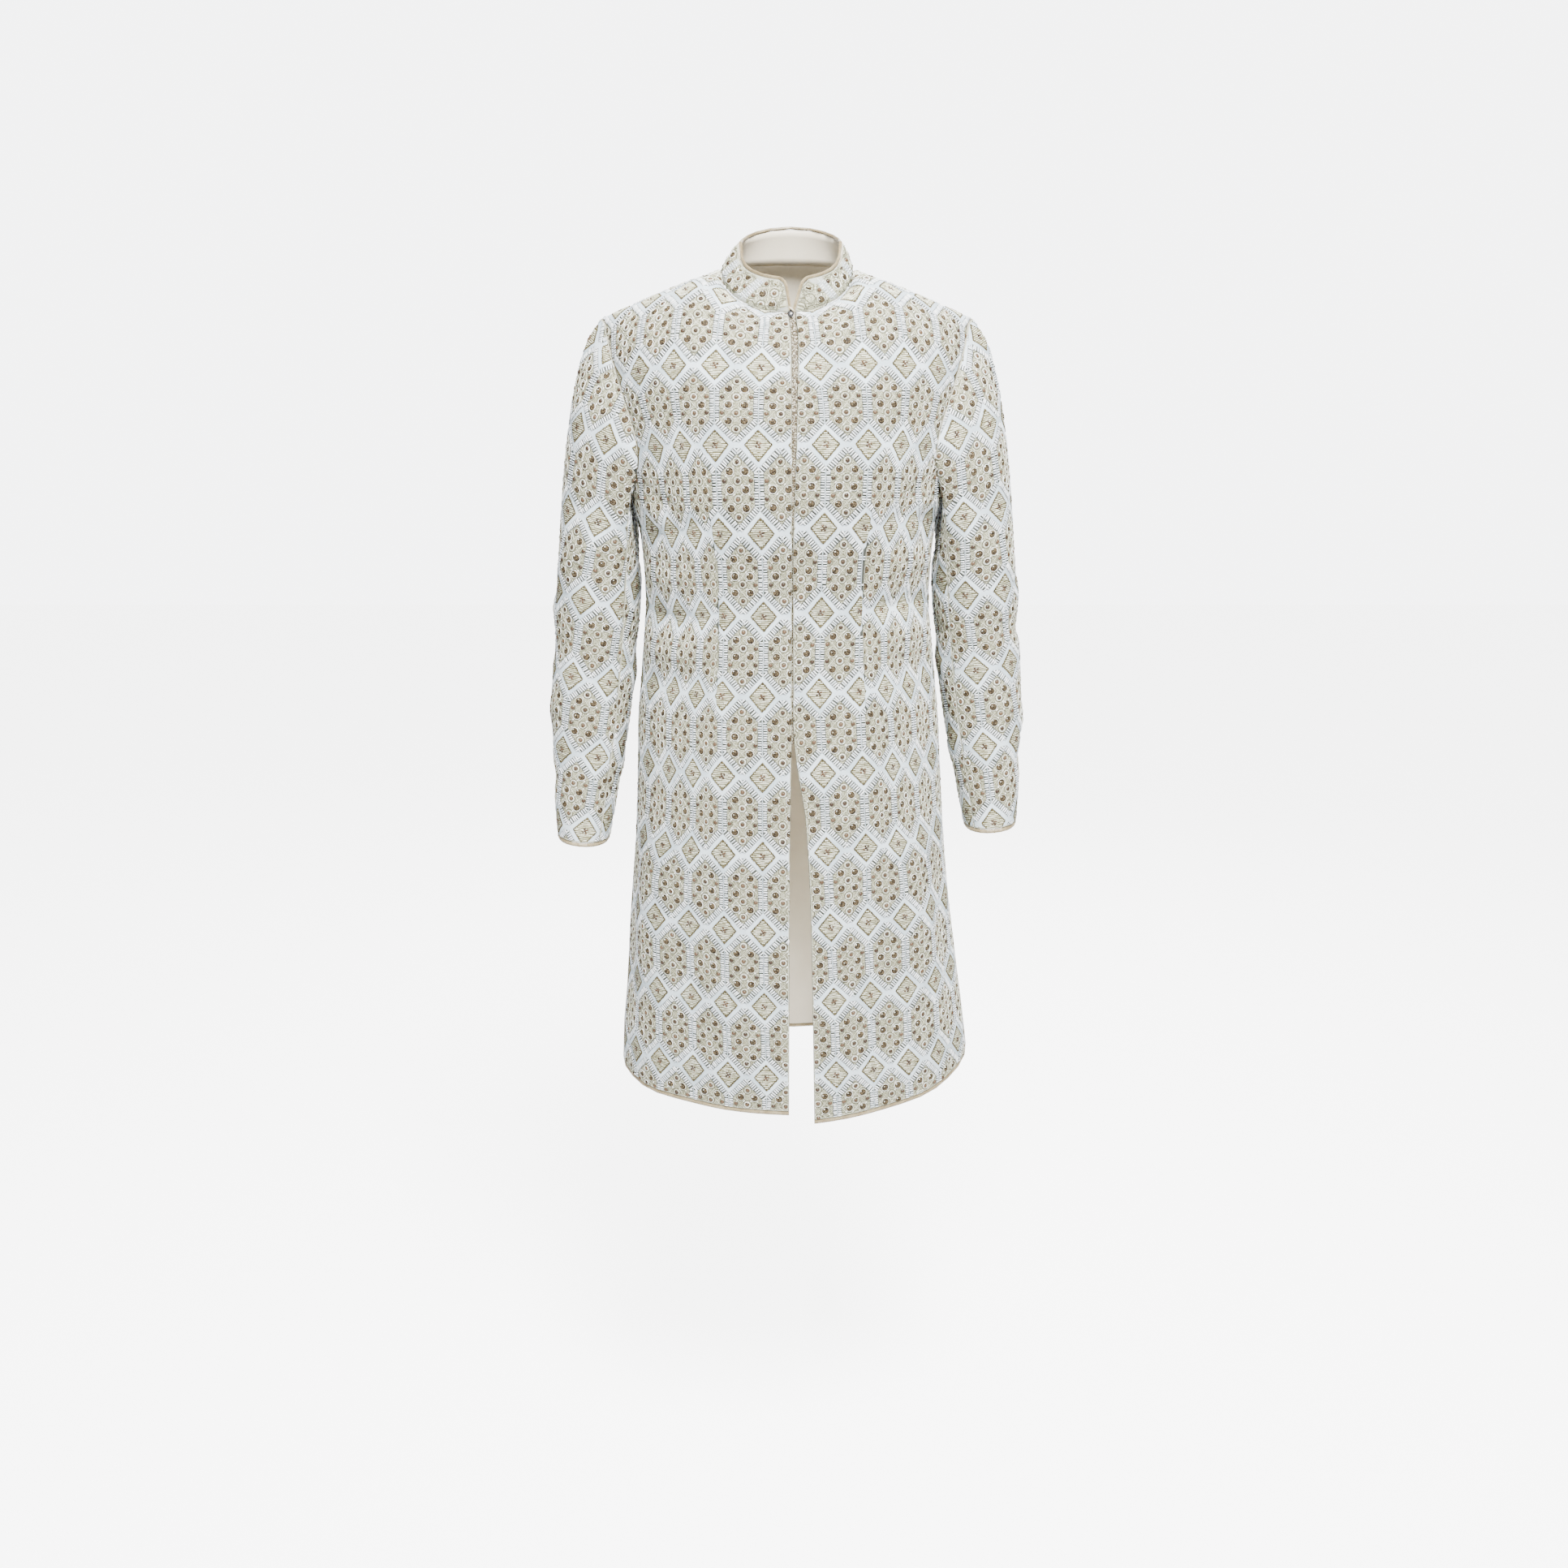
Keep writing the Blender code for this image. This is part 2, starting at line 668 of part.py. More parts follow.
for side, word in ((-1, "right"), (1, "left")):
    points, walls, normals, across = armhole_loop(side)
    count = len(points)
    turns = [2 * math.pi * k / count for k in range(count)]
    start = points + across * (seam_gap + 0.15)
    rings = []
    for m in range(cap_steps + 1):
        t = m / cap_steps
        rings.append([cap_point(side, turns[k], t, start[k], normals[k], across[k])
                      for k in range(count)])
    for row in sleeve_rings[1:]:
        rings.append([ring_point(side, row, turn) for turn in turns])
    outer = np.array(rings)
    looped = np.concatenate([outer[:, -1:], outer, outer[:, :1]], axis=1)
    normal = normals_of(looped, side < 0)[:, 1:-1]
    centre = outer.mean(axis=1, keepdims=True)
    if np.mean(np.sum(normal * (outer - centre), axis=2)) < 0:
        normal = -normal
    inward = -normal
    for k in range(count):
        lean = max(0.0, float(np.dot(walls[k] - inward[0, k], across[k])))
        inward[0, k] = unit(inward[0, k] + across[k] * lean)
    inward[0, 0] = unit(inward[0, 0] * np.array([1.0, 0.0, 1.0]))
    inner = outer + inward * panel_wall
    front_seam = armhole_steps - front_seam_step
    back_seam = armhole_steps + back_seam_step
    add_sleeve_piece(f"sleeve_{word}_top", outer, inner, range(back_seam, count + front_seam + 1))
    add_sleeve_piece(f"sleeve_{word}_under", outer, inner, range(front_seam, back_seam + 1))
    away = np.array([unit(a - b) for a, b in zip(outer[-1], outer[-2])])
    bind_edge(f"cuff_binding_{word}", outer[-1], inner[-1], away, closed=True)

# ---- collar ----
base_outer, base_inner, base_up = [], [], []


def add_base(outer, inner, columns):
    for j in columns:
        base_outer.append(outer[-1, j])
        base_inner.append(inner[-1, j])
        base_up.append(unit(outer[-1, j] - outer[-2, j]))


add_base(fronts[-1][0], fronts[-1][1], range(0, front_neck_columns + 1))
add_base(backs[-1][0], backs[-1][1], range(back_neck_columns - 1, 0, -1))
add_base(backs[1][0], backs[1][1], range(0, back_neck_columns))
add_base(fronts[1][0], fronts[1][1], range(front_neck_columns, -1, -1))
base_outer, base_inner, base_up = np.array(base_outer), np.array(base_inner), np.array(base_up)
run = np.concatenate([[0.0], np.cumsum(np.linalg.norm(np.diff(base_outer, axis=0), axis=1))])
length = run[-1]
inner_places = [r for r in run if collar_end_reach < r < length - collar_end_reach]
end_places = [length - r for r in reversed(collar_end_places)]
places = [*collar_end_places, *inner_places, *end_places]


def along_base(a, arr):
    return np.array([np.interp(a, run, arr[:, c]) for c in range(3)])


def collar_top(a):
    """Top line of the stand at a distance along the neckline."""
    base = along_base(a, base_outer)
    turn = math.atan2(base[0] - upper_centre_x, -(base[1] - neck_centre_y))
    c = math.cos(turn)
    deep = collar_top_front_depth if c > 0 else collar_top_back_depth
    end_z = collar_top_front_z if c > 0 else collar_top_back_z
    x = collar_top_centre[0] + collar_top_half_width * math.sin(turn)
    y = collar_top_centre[1] - deep * c
    z = collar_top_side_z + (end_z - collar_top_side_z) * abs(c) ** (0.62 if c > 0 else 1.3)
    return np.array([x, y, z])


def corner_height(d):
    """Share of the full height left at a distance in from the rounded front corner, in mm cut."""
    r = collar_corner_radius
    if d >= r:
        return 0.0
    return r - math.sqrt(max(r * r - (r - d) ** 2, 0.0))


def collar_grid(offset):
    """Points of the stand, moved in from its outside by an offset."""
    grid = []
    rows = collar_rows
    for i in range(rows + 1):
        row = []
        for a in places:
            from_right, from_left = a, length - a
            nearest = min(from_right, from_left)
            full = np.linalg.norm(collar_top(a) - along_base(a, base_outer))
            v = i / rows * (1 - corner_height(nearest) / full)
            widen = collar_notch_top[0 if from_right < from_left else 1] * v
            fade = math.exp(-nearest / 30.0)
            moved = a + (widen if from_right < from_left else -widen) * fade
            base = along_base(moved, base_outer) + along_base(moved, base_up) * seam_gap
            around = collar_side(moved)
            p = base + (collar_top(moved) - base) * v
            row.append(p + around * (collar_bulge * math.sin(math.pi * v) - offset))
        grid.append(row)
    return np.array(grid)


def collar_side(a):
    """Outward direction of the stand at a place along it."""
    before, after = along_base(max(a - 3, 0), base_outer), along_base(min(a + 3, length), base_outer)
    along = unit(after - before)
    up = unit(collar_top(a) - along_base(a, base_outer))
    out = unit(np.cross(along, up))
    away = along_base(a, base_outer) - np.array([upper_centre_x, neck_centre_y, 0.0])
    return out if np.dot(out, away) > 0 else -out


outer = collar_grid(0.0)
inner = collar_grid(collar_wall)
add_sheet("collar", outer, inner, embroidered)
facing_outer = collar_grid(collar_wall + layer_gap)
facing_inner = collar_grid(collar_wall + layer_gap + facing_wall)
add_sheet("collar_facing", facing_outer, facing_inner, facing_cloth)

rows, cols = outer.shape[:2]
path = [(i, 0) for i in range(rows)] + [(rows - 1, j) for j in range(1, cols)]
path += [(i, cols - 1) for i in range(rows - 2, -1, -1)]
rim = np.array([(outer[i, j] + facing_inner[i, j]) / 2 for i, j in path])
wall = np.array([unit(outer[i, j] - facing_inner[i, j]) for i, j in path])
ahead = np.roll(rim, -1, axis=0) - np.roll(rim, 1, axis=0)
ahead[0] = rim[1] - rim[0]
ahead[-1] = rim[-1] - rim[-2]
away = np.array([unit(np.cross(a, w)) for a, w in zip(ahead, wall)])
middle = rim[len(rim) // 2]
if away[len(rim) // 2][2] < 0:
    away = -away
half_wide, half_thick = collar_piping_size[0] / 2, collar_piping_size[1] / 2
add_tube("collar_piping", rim + away * (half_wide + seam_gap + 0.2), away * half_wide,
         wall * half_thick, binding_cloth)

# ---- strip behind the closed front ----
rows = [lambda xi: low_point(-1, xi, underlap_bottom_z)]
rows += [lambda xi, z=z: low_point(-1, xi, z) for z in low_levels if underlap_bottom_z < z]
rows += [lambda xi, s=s: high_point(-1, xi, s) for s in underlap_high_shares]
xs = np.linspace(underlap_x[0], underlap_x[1], underlap_columns)
strip = np.array([[row(off_zero(xi_at_x(row, x))) for x in xs] for row in rows])
normal = normals_of(strip, False)
if normal[3, 2, 1] > 0:
    normal = -normal
outer = strip - normal * (panel_wall + underlap_gap)
add_sheet("front_underlap", outer, outer - normal * underlap_wall, embroidered)

# ---- hook and eye at the neck ----
edge, _, edge_normal = fronts[-1]
closure = (edge[-2, 0] + edge[-1, 0]) / 2
ahead = unit(edge_normal[-2, 0] * np.array([0.0, 1.0, 1.0]))
right = np.array([1.0, 0.0, 0.0])
up = unit(np.cross(right, ahead))
spot = closure + ahead * eye_offset + right * eye_right
centres, wides = [], []
for k in range(eye_steps):
    a = 2 * math.pi * k / eye_steps
    pear = 1.0 - 0.35 * max(0.0, math.cos(a)) ** 2
    out = right * math.sin(a) * eye_half_size[0] * pear + up * math.cos(a) * eye_half_size[1]
    centres.append(spot + out)
    wides.append(unit(out) * eye_wire)
add_tube("neck_eye", centres, wides, [ahead * eye_wire] * eye_steps, dark_metal, closed=True)
hook_path = [spot + up * h + ahead * d for h, d in hook_line]
add_tube("neck_hook", hook_path, [right * hook_half_size[0]] * len(hook_path),
         [ahead * hook_half_size[1]] * len(hook_path), dark_metal)
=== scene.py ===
# Sherwani coat: embroidered cloth shells, bead and thread work, bound edges, lining and neck hook.
import math
import random
from functools import partial
import bmesh
import bpy
import numpy as np
from mathutils import Matrix, Vector


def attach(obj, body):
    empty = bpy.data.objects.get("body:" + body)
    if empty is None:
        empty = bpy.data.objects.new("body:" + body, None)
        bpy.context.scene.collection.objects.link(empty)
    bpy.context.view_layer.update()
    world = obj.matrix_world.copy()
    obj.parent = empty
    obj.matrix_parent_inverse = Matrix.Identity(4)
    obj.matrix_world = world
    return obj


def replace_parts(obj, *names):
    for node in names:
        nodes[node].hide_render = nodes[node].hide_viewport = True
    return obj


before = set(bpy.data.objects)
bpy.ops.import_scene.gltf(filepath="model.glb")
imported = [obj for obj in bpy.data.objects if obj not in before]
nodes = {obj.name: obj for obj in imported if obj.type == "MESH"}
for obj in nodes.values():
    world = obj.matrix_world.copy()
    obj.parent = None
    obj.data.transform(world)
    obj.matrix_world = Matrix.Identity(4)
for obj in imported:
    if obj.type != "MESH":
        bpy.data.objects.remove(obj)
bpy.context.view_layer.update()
mm = 0.001
dice = random.Random(7)

# the repeat of the woven and beaded pattern, mm
jaal = {
    "across": 45.7,
    "up": 91.0,
    "hexHalfWidth": 17.8,
    "hexTip": 36.5,
    "hexSlope": 1.095,
    "cellHalf": (8.3, 9.35),
    "outerDotX": 14.6,
    "ringedBead": {"radius": 2.4, "height": 1.6},
    "ring": {"radius": 3.6, "width": 1.4, "height": 1.2},
    "plainBead": {"radius": 2.5, "height": 1.5},
    "rosetteRing": {"radius": 4.7, "width": 1.1, "height": 1.15},
    "rosette": {"disc": 4.3, "discHeight": 0.95, "knots": 6, "knotSize": 1.8, "knotHeight": 1.55, "knotRing": 2.7},
    "cord": {"width": 0.9, "height": 0.8, "step": 5.4},
    "fringe": {"start": -0.3, "side": 5.0, "slant": 7.2, "width": 1.75, "height": 1.3, "spacing": 2.85},
    "filling": {"length": 2.9, "width": 1.7, "height": 0.8},
    "diamondHalf": (14.2, 16.7),
    "diamondStitch": {"length": 2.0, "width": 1.6, "height": 0.95, "spacing": 2.75},
    "rib": {"spacing": 2.15, "width": 1.8, "height": 0.9, "step": 4.4},
    "cluster": {"radius": 1.7, "height": 1.4, "reach": 2.7},
}


def unitRows(v):
    return v / np.maximum(np.linalg.norm(v, axis=-1, keepdims=True), 1e-12)


def ease(t):
    t = np.clip(t, 0.0, 1.0)
    return t * t * (3 - 2 * t)


def wallGrid(name, rows, cols, wall):
    # the outer wall of a packed panel as a grid of points, from its lowest corner up
    bm = bmesh.new()
    bm.from_mesh(nodes[name].data)
    bmesh.ops.remove_doubles(bm, verts=bm.verts, dist=0.00001)
    rim = [f for f in bm.faces if any(abs(e.calc_length() / mm - wall) < 0.0005 for e in f.edges)]
    bmesh.ops.delete(bm, geom=rim, context="FACES_ONLY")
    walls, seen = [], set()
    for face in bm.faces:
        if face in seen:
            continue
        seen.add(face)
        todo, found = [face], []
        while todo:
            here = todo.pop()
            found.append(here)
            for edge in here.edges:
                for other in edge.link_faces:
                    if other not in seen:
                        seen.add(other)
                        todo.append(other)
        walls.append(found)
    walls = [w for w in walls if len(w) == 2 * (rows - 1) * (cols - 1)]
    faces = max(walls, key=lambda w: sum(f.calc_area() for f in w))
    inWall = set(faces)
    near, rimNear = {}, {}
    for face in faces:
        for edge in face.edges:
            a, b = edge.verts
            near.setdefault(a, set()).add(b)
            near.setdefault(b, set()).add(a)
            if sum(f in inWall for f in edge.link_faces) == 1:
                rimNear.setdefault(a, set()).add(b)
                rimNear.setdefault(b, set()).add(a)
    first = min((v for v in rimNear if len(near[v]) == 3), key=lambda v: v.co.z)
    ways = []
    for step in rimNear[first]:
        way = [first, step]
        while len(near[way[-1]]) > 2:
            way.append(next(v for v in rimNear[way[-1]] if v is not way[-2]))
        ways.append(way)
    row = min(ways, key=lambda w: abs(w[-1].co.z - w[0].co.z))
    used = set(row)
    grid = [row]
    for _ in range(rows - 1):
        last = grid[-1]
        new = [None]
        for j in range(cols - 1):
            new.append(next(iter((near[last[j]] & near[last[j + 1]]) - used)))
        new[0] = next(iter((near[last[0]] & near[new[1]]) - used))
        used.update(new)
        grid.append(new)
    points = np.array([[v.co for v in line] for line in grid]) / mm
    corner = np.array(faces[0].verts[0].co) / mm
    i, j = np.argwhere(np.linalg.norm(points - corner, axis=2) < 1e-3)[0]
    turned = float(gridNormals(points)[i, j] @ np.array(faces[0].normal)) < 0
    bm.free()
    return points, turned


def gridNormals(points):
    return unitRows(np.cross(np.gradient(points, axis=1), np.gradient(points, axis=0)))


def resample(values, keys, wanted):
    # smooth curve through rows of values, read at other places along it
    h = np.diff(keys).reshape(-1, *[1] * (values.ndim - 1))
    d = np.diff(values, axis=0) / h
    slopes = np.concatenate([d[:1], (d[:-1] * h[1:] + d[1:] * h[:-1]) / (h[:-1] + h[1:]), d[-1:]])
    k = np.clip(np.searchsorted(keys, wanted, side="right") - 1, 0, len(keys) - 2)
    t = ((wanted - keys[k]) / (keys[k + 1] - keys[k])).reshape(-1, *[1] * (values.ndim - 1))
    return (
        (2 * t**3 - 3 * t**2 + 1) * values[k] + (t**3 - 2 * t**2 + t) * h[k] * slopes[k]
        + (3 * t**2 - 2 * t**3) * values[k + 1] + (t**3 - t**2) * h[k] * slopes[k + 1]
    )


def chords(points, axis):
    steps = np.linalg.norm(np.diff(points, axis=axis), axis=2).mean(axis=1 - axis)
    return np.concatenate([[0.0], np.cumsum(steps)])


def flatten(points, levelRows, rounds=4000, give=0.11):
    # lay the panel out flat, keeping the distance between each point and its neighbours
    flat = np.zeros(points.shape[:2] + (2,))
    across = np.linalg.norm(np.diff(points, axis=1), axis=2)
    up = np.linalg.norm(np.diff(points, axis=0), axis=2)
    flat[:, 1:, 0] = np.cumsum(across, axis=1)
    flat[levelRows:, :, 0] = flat[levelRows - 1, :, 0]
    flat[1:, :, 1] = np.cumsum(up, axis=0)
    whole = slice(None)
    pairs = [
        ((whole, slice(0, -1)), (whole, slice(1, None))),
        ((slice(0, -1), whole), (slice(1, None), whole)),
        ((slice(0, -1), slice(0, -1)), (slice(1, None), slice(1, None))),
        ((slice(0, -1), slice(1, None)), (slice(1, None), slice(0, -1))),
    ]
    rests = [np.linalg.norm(points[b] - points[a], axis=2, keepdims=True) for a, b in pairs]
    for _ in range(rounds):
        move = np.zeros_like(flat)
        for (a, b), rest in zip(pairs, rests):
            gap = flat[b] - flat[a]
            length = np.maximum(np.linalg.norm(gap, axis=2, keepdims=True), 1e-9)
            pull = gap * (length - rest) / length * give
            move[a] += pull
            move[b] -= pull
        flat += move
    return flat


def upright(flat, low, high, mirrored=False):
    # turn the laid-out cloth so that its grain, from one grid place to another, runs straight up
    grain = flat[high] - flat[low]
    turn = math.atan2(grain[0], grain[1])
    c, s = math.cos(turn), math.sin(turn)
    turned = (flat - flat[low]) @ np.array([[c, s], [-s, c]])
    if mirrored:
        turned[..., 0] = -turned[..., 0]
    return turned


print("reading the panels")

plainPanels = "collar_facing", "front_underlap"  # no embroidery on these
# each packed panel: its grid's rows, columns and level rows, and its wall in mm; the grid places (row, column)
# that its grain runs through; the pattern's turn in degrees, the flat place of a hexagon's middle, and its drift
# across and up at heights on the flat; a front's waist dart, by its column and its ends on the flat, and the
# heights between which it is drawn in; and soft creases: from (x, y) to (x, y) on the flat, height outwards
# (a trough is below 0) and half width, mm
panelPlans = {
    "front_right": {
        "grid": (30, 14, 18), "wall": 2.0, "grain": ((4, 0), (20, 0)), "middle": (0, 435),
        "drift": [(-170, 0, 1), (-66, -5, 0), (300, -17, 1), (430, -15, -2), (573, -12, 1), (653, -11, -9)],
        "dart": {"column": 6, "low": 268, "high": 512, "side": -1}, "drawnIn": (60, 640),
        "creases": [
            (-212, 392, -88, 388, -5.5, 11), (-206, 432, -98, 436, 3.9, 15), (-204, 482, -106, 490, -4.8, 11),
            (-212, 350, -92, 352, 3.6, 15), (-216, 312, -122, 318, -3.0, 12), (-190, 542, -122, 500, -4.0, 11),
            (-180, 562, -150, 470, 3.4, 9), (-150, 180, -185, -60, 3.6, 24), (-95, 120, -110, -150, -3.0, 22),
            (-205, 120, -225, -120, -3.4, 20), (-50, 60, -40, -170, 2.2, 21), (-60, 372, -20, 384, -1.6, 10),
        ],
    },
    "front_left": {
        "grid": (30, 14, 18), "wall": 2.0, "grain": ((10, 0), (20, 0)), "middle": (0, 178),
        "drift": [(-410, 9, 2), (-318, 10, 4), (45, 8, 3), (134, 12, 1), (227, 10, 3), (314, 8, -1), (396, 2, -10)],
        "dart": {"column": 6, "low": 10, "high": 254, "side": 1}, "drawnIn": (-198, 382),
        "creases": [
            (202, 133, 80, 130, -5.5, 11), (205, 176, 96, 179, 4.0, 15), (198, 226, 104, 233, -5.1, 11),
            (205, 92, 88, 95, 3.4, 15), (206, 55, 121, 60, -3.0, 12), (181, 284, 118, 243, -4.3, 11),
            (172, 300, 146, 212, 3.4, 9), (140, -80, 180, -330, 3.5, 23), (90, -120, 105, -420, -3.1, 22),
            (195, -140, 220, -380, -3.2, 19), (45, -190, 36, -430, 2.1, 20), (58, 112, 20, 128, -1.6, 10),
        ],
    },
    "back": {
        "grid": (30, 25, 18), "wall": 2.0, "grain": ((4, 12), (20, 12)), "middle": (0, 447),
        "creases": [
            (-150, 560, -40, 500, -3.3, 16), (150, 545, 52, 478, -2.9, 15), (-190, 470, -95, 400, 3.2, 13),
            (186, 462, 110, 385, 3.0, 14), (-120, 345, 30, 322, -3.0, 12), (-60, 300, 105, 312, 2.6, 12),
            (-190, 372, -90, 366, -3.2, 12), (195, 352, 98, 340, -3.4, 11), (-40, 362, 95, 350, -2.2, 10),
            (-140, 130, -170, -90, 3.6, 23), (-45, 90, -60, -130, -3.0, 22), (52, 140, 40, -120, 2.8, 24),
            (120, 100, 150, -110, -3.3, 20), (200, 60, 215, -130, 2.8, 18), (-215, 40, -232, -140, -2.8, 17),
        ],
    },
    "sleeve_right_top": {
        "grid": (18, 18, 11), "wall": 2.0, "grain": ((0, 9), (12, 9)), "turn": 9.2, "middle": (95.6, 460.8),
        "drift": [(8, -25, -43), (190, -23, -47), (375, -18, -45), (467, -33, -45)],
        "creases": [
            (-95, 300, 30, 262, 3.8, 13), (-100, 262, 10, 232, -3.5, 11), (-60, 215, 80, 240, -2.6, 13),
            (100, 350, 20, 300, 3.2, 13), (70, 160, -50, 120, 2.8, 14), (-70, 90, 40, 66, -2.5, 12),
            (95, 400, 40, 372, -2.8, 12),
        ],
    },
    "sleeve_right_under": {
        "grid": (18, 8, 11), "wall": 2.0, "grain": ((0, 4), (12, 4)), "turn": 9.2,
        "drift": [(0, 0, 430)],
        "creases": [
            (-40, 250, 30, 225, -2.8, 12), (-30, 190, 40, 205, 2.4, 12), (-20, 320, 45, 345, -2.5, 13),
            (-25, 100, 35, 84, 2.0, 12),
        ],
    },
    "sleeve_left_top": {
        "grid": (18, 18, 11), "wall": 2.0, "grain": ((0, 9), (12, 9)), "turn": -7, "middle": (-95, 270),
        "drift": [(185, -21, -44), (272, -25, -46), (457, -4, -46)],
        "creases": [
            (95, 290, -30, 255, 3.5, 13), (100, 250, -12, 220, -3.3, 11), (60, 205, -80, 226, -2.5, 13),
            (-100, 340, -24, 292, 3.3, 13), (-72, 150, 46, 112, 2.6, 14), (68, 84, -42, 60, -2.5, 12),
            (-95, 392, -44, 360, -2.6, 12),
        ],
    },
    "sleeve_left_under": {
        "grid": (18, 8, 11), "wall": 2.0, "grain": ((0, 4), (12, 4)), "turn": -7,
        "drift": [(0, 0, 240)],
        "creases": [
            (40, 240, -30, 216, -2.7, 12), (32, 182, -38, 198, 2.4, 12), (22, 310, -44, 334, -2.4, 13),
            (26, 96, -34, 78, 1.8, 12),
        ],
    },
    "collar": {
        "grid": (6, 31, 6), "wall": 1.6, "grain": ((0, 15), (5, 15)), "middle": (0, 16),
    },
    "collar_facing": {
        "grid": (6, 31, 6), "wall": 1.1, "grain": ((0, 15), (5, 15)),
    },
    "front_underlap": {
        "grid": (16, 5, 16), "wall": 1.4, "grain": ((0, 2), (15, 2)),
    },
}
dartFold = {"takenIn": 11.0, "depth": 0.8, "reach": 2.4}
# the narrowed strip beside the waist: its start from the front edge, its width, the cloth taken up, its fade
drawnStrip = {"start": 92, "width": 75, "share": 0.42, "fade": 110}
cloth = {"step": 6.8, "turnIn": 1.1, "turnWidth": 3.0, "thickness": 1.8, "creaseFade": 26.0}


def keysAlong(length, fold=None):
    # even steps, with a few close ones beside each edge for the turned-in seam and at a dart's fold
    turn = cloth["turnWidth"]
    if length < 60:
        return np.linspace(0, length, max(5, int(round(length / cloth["step"])) + 1))
    inner = np.linspace(turn, length - turn, int(round((length - 2 * turn) / cloth["step"])) + 1)
    if fold is not None:
        reach = dartFold["reach"]
        inner = inner[np.abs(inner - fold) > reach + 0.8]
        inner = np.sort(np.concatenate([inner, fold + np.array([-reach, -0.5, 0.5, reach])]))
    return np.concatenate([[0.0, turn * 0.45], inner, [length - turn * 0.45, length]])


def creaseHeights(flat, lines, fromEdge):
    total = np.zeros(flat.shape[:2])
    for startX, startY, endX, endY, height, width in lines:
        start, way = np.array([startX, startY]), np.array([endX - startX, endY - startY])
        length = np.linalg.norm(way)
        along = (flat - start) @ way / length**2
        aside = (flat - start) @ np.array([-way[1], way[0]]) / length
        bow = aside + 0.07 * length * np.sin(np.clip(along, 0, 1) * math.pi)
        ends = ease((along + 0.15) / 0.5) * ease((1.2 - along) / 0.55)
        total += height * ends * np.exp(-((bow / width) ** 2))
    return total * ease(fromEdge / cloth["creaseFade"])


def layPanel(name):
    plan = panelPlans[name]
    rows, cols, levelRows = plan["grid"]
    points, turned = wallGrid(name, rows, cols, plan["wall"])
    flat = upright(flatten(points, levelRows), *plan["grain"], mirrored=turned)
    rowKeys, colKeys = chords(points, 0), chords(points, 1)
    dart = plan.get("dart")
    fold = colKeys[dart["column"]] if dart else None
    fineRows, fineCols = keysAlong(rowKeys[-1]), keysAlong(colKeys[-1], fold)
    points, flat = (
        resample(resample(grid, rowKeys, fineRows).swapaxes(0, 1), colKeys, fineCols).swapaxes(0, 1)
        for grid in (points, flat)
    )
    if turned:
        points, flat, fineCols = points[:, ::-1], flat[:, ::-1], colKeys[-1] - fineCols[::-1]
        fold = colKeys[-1] - fold if dart else None
    normals = gridNormals(points)
    fromSide = np.minimum(fineCols, fineCols[-1] - fineCols)
    fromEnd = np.minimum(fineRows, fineRows[-1] - fineRows)
    fromEdge = np.minimum(fromSide[None, :], fromEnd[:, None])
    lift = creaseHeights(flat, plan.get("creases", []), fromEdge)
    if name not in plainPanels:
        seam = np.minimum(fromSide[None, :] / cloth["turnWidth"], 1.0)
        lift -= cloth["turnIn"] * (1 - np.sqrt(1 - (1 - seam) ** 2))
    taken = np.zeros(flat.shape[:2])
    if dart:
        along = (flat[..., 1] - dart["low"]) / (dart["high"] - dart["low"])
        gape = np.sin(np.clip(along, 0, 1) * math.pi) ** 0.7
        lift -= dartFold["depth"] * gape * np.maximum(1 - np.abs(fineCols - fold) / dartFold["reach"], 0)[None, :]
        beyond = (fineCols - fold) * dart["side"] > 0.4
        taken = dart["side"] * dartFold["takenIn"] * gape * beyond[None, :]
    points = points + normals * lift[..., None]
    turn = math.radians(plan.get("turn", 0))
    c, s = math.cos(turn), math.sin(turn)
    pattern = (flat - np.array(plan.get("middle", (0, 0)), float)) @ np.array([[c, s], [-s, c]])
    drift = np.array(plan.get("drift", [(0, 0, 0)]), float)
    pattern -= np.stack([np.interp(flat[..., 1], drift[:, 0], drift[:, i]) for i in (1, 2)], axis=2)
    pattern[..., 0] += taken
    if "drawnIn" in plan:
        low, high = plan["drawnIn"]
        fade = drawnStrip["fade"]
        tall = ease((flat[..., 1] - low) / fade) * ease((high - flat[..., 1]) / fade)
        strip = np.clip(np.abs(flat[..., 0]) - drawnStrip["start"], 0, drawnStrip["width"])
        pattern[..., 0] += np.sign(flat[..., 0]) * drawnStrip["share"] * strip * tall
    corners = flat[:-1, :-1], flat[:-1, 1:], flat[1:, 1:], flat[1:, :-1]
    spans = corners[2] - corners[0], corners[3] - corners[1]
    area = 0.5 * np.abs(spans[0][..., 0] * spans[1][..., 1] - spans[0][..., 1] * spans[1][..., 0]).sum()
    size = np.ptp(flat.reshape(-1, 2), axis=0)
    return {
        "points": points, "normals": gridNormals(points), "pattern": pattern, "rim": fromEdge,
        "area": area * mm * mm, "size": (size[0] * mm, size[1] * mm),
    }


panels = {name: layPanel(name) for name in panelPlans}
for name, panel in panels.items():
    print(name, panel["points"].shape, np.round(panel["size"], 3), round(panel["area"], 4))


def meshOf(bm, name):
    mesh = bpy.data.meshes.new(name)
    bm.to_mesh(mesh)
    bm.free()
    return mesh


def newPiece(mesh):
    # a piece of the coat, named as its mesh; the whole coat is one body
    piece = bpy.data.objects.new(mesh.name, mesh)
    bpy.context.collection.objects.link(piece)
    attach(piece, "root")
    return piece


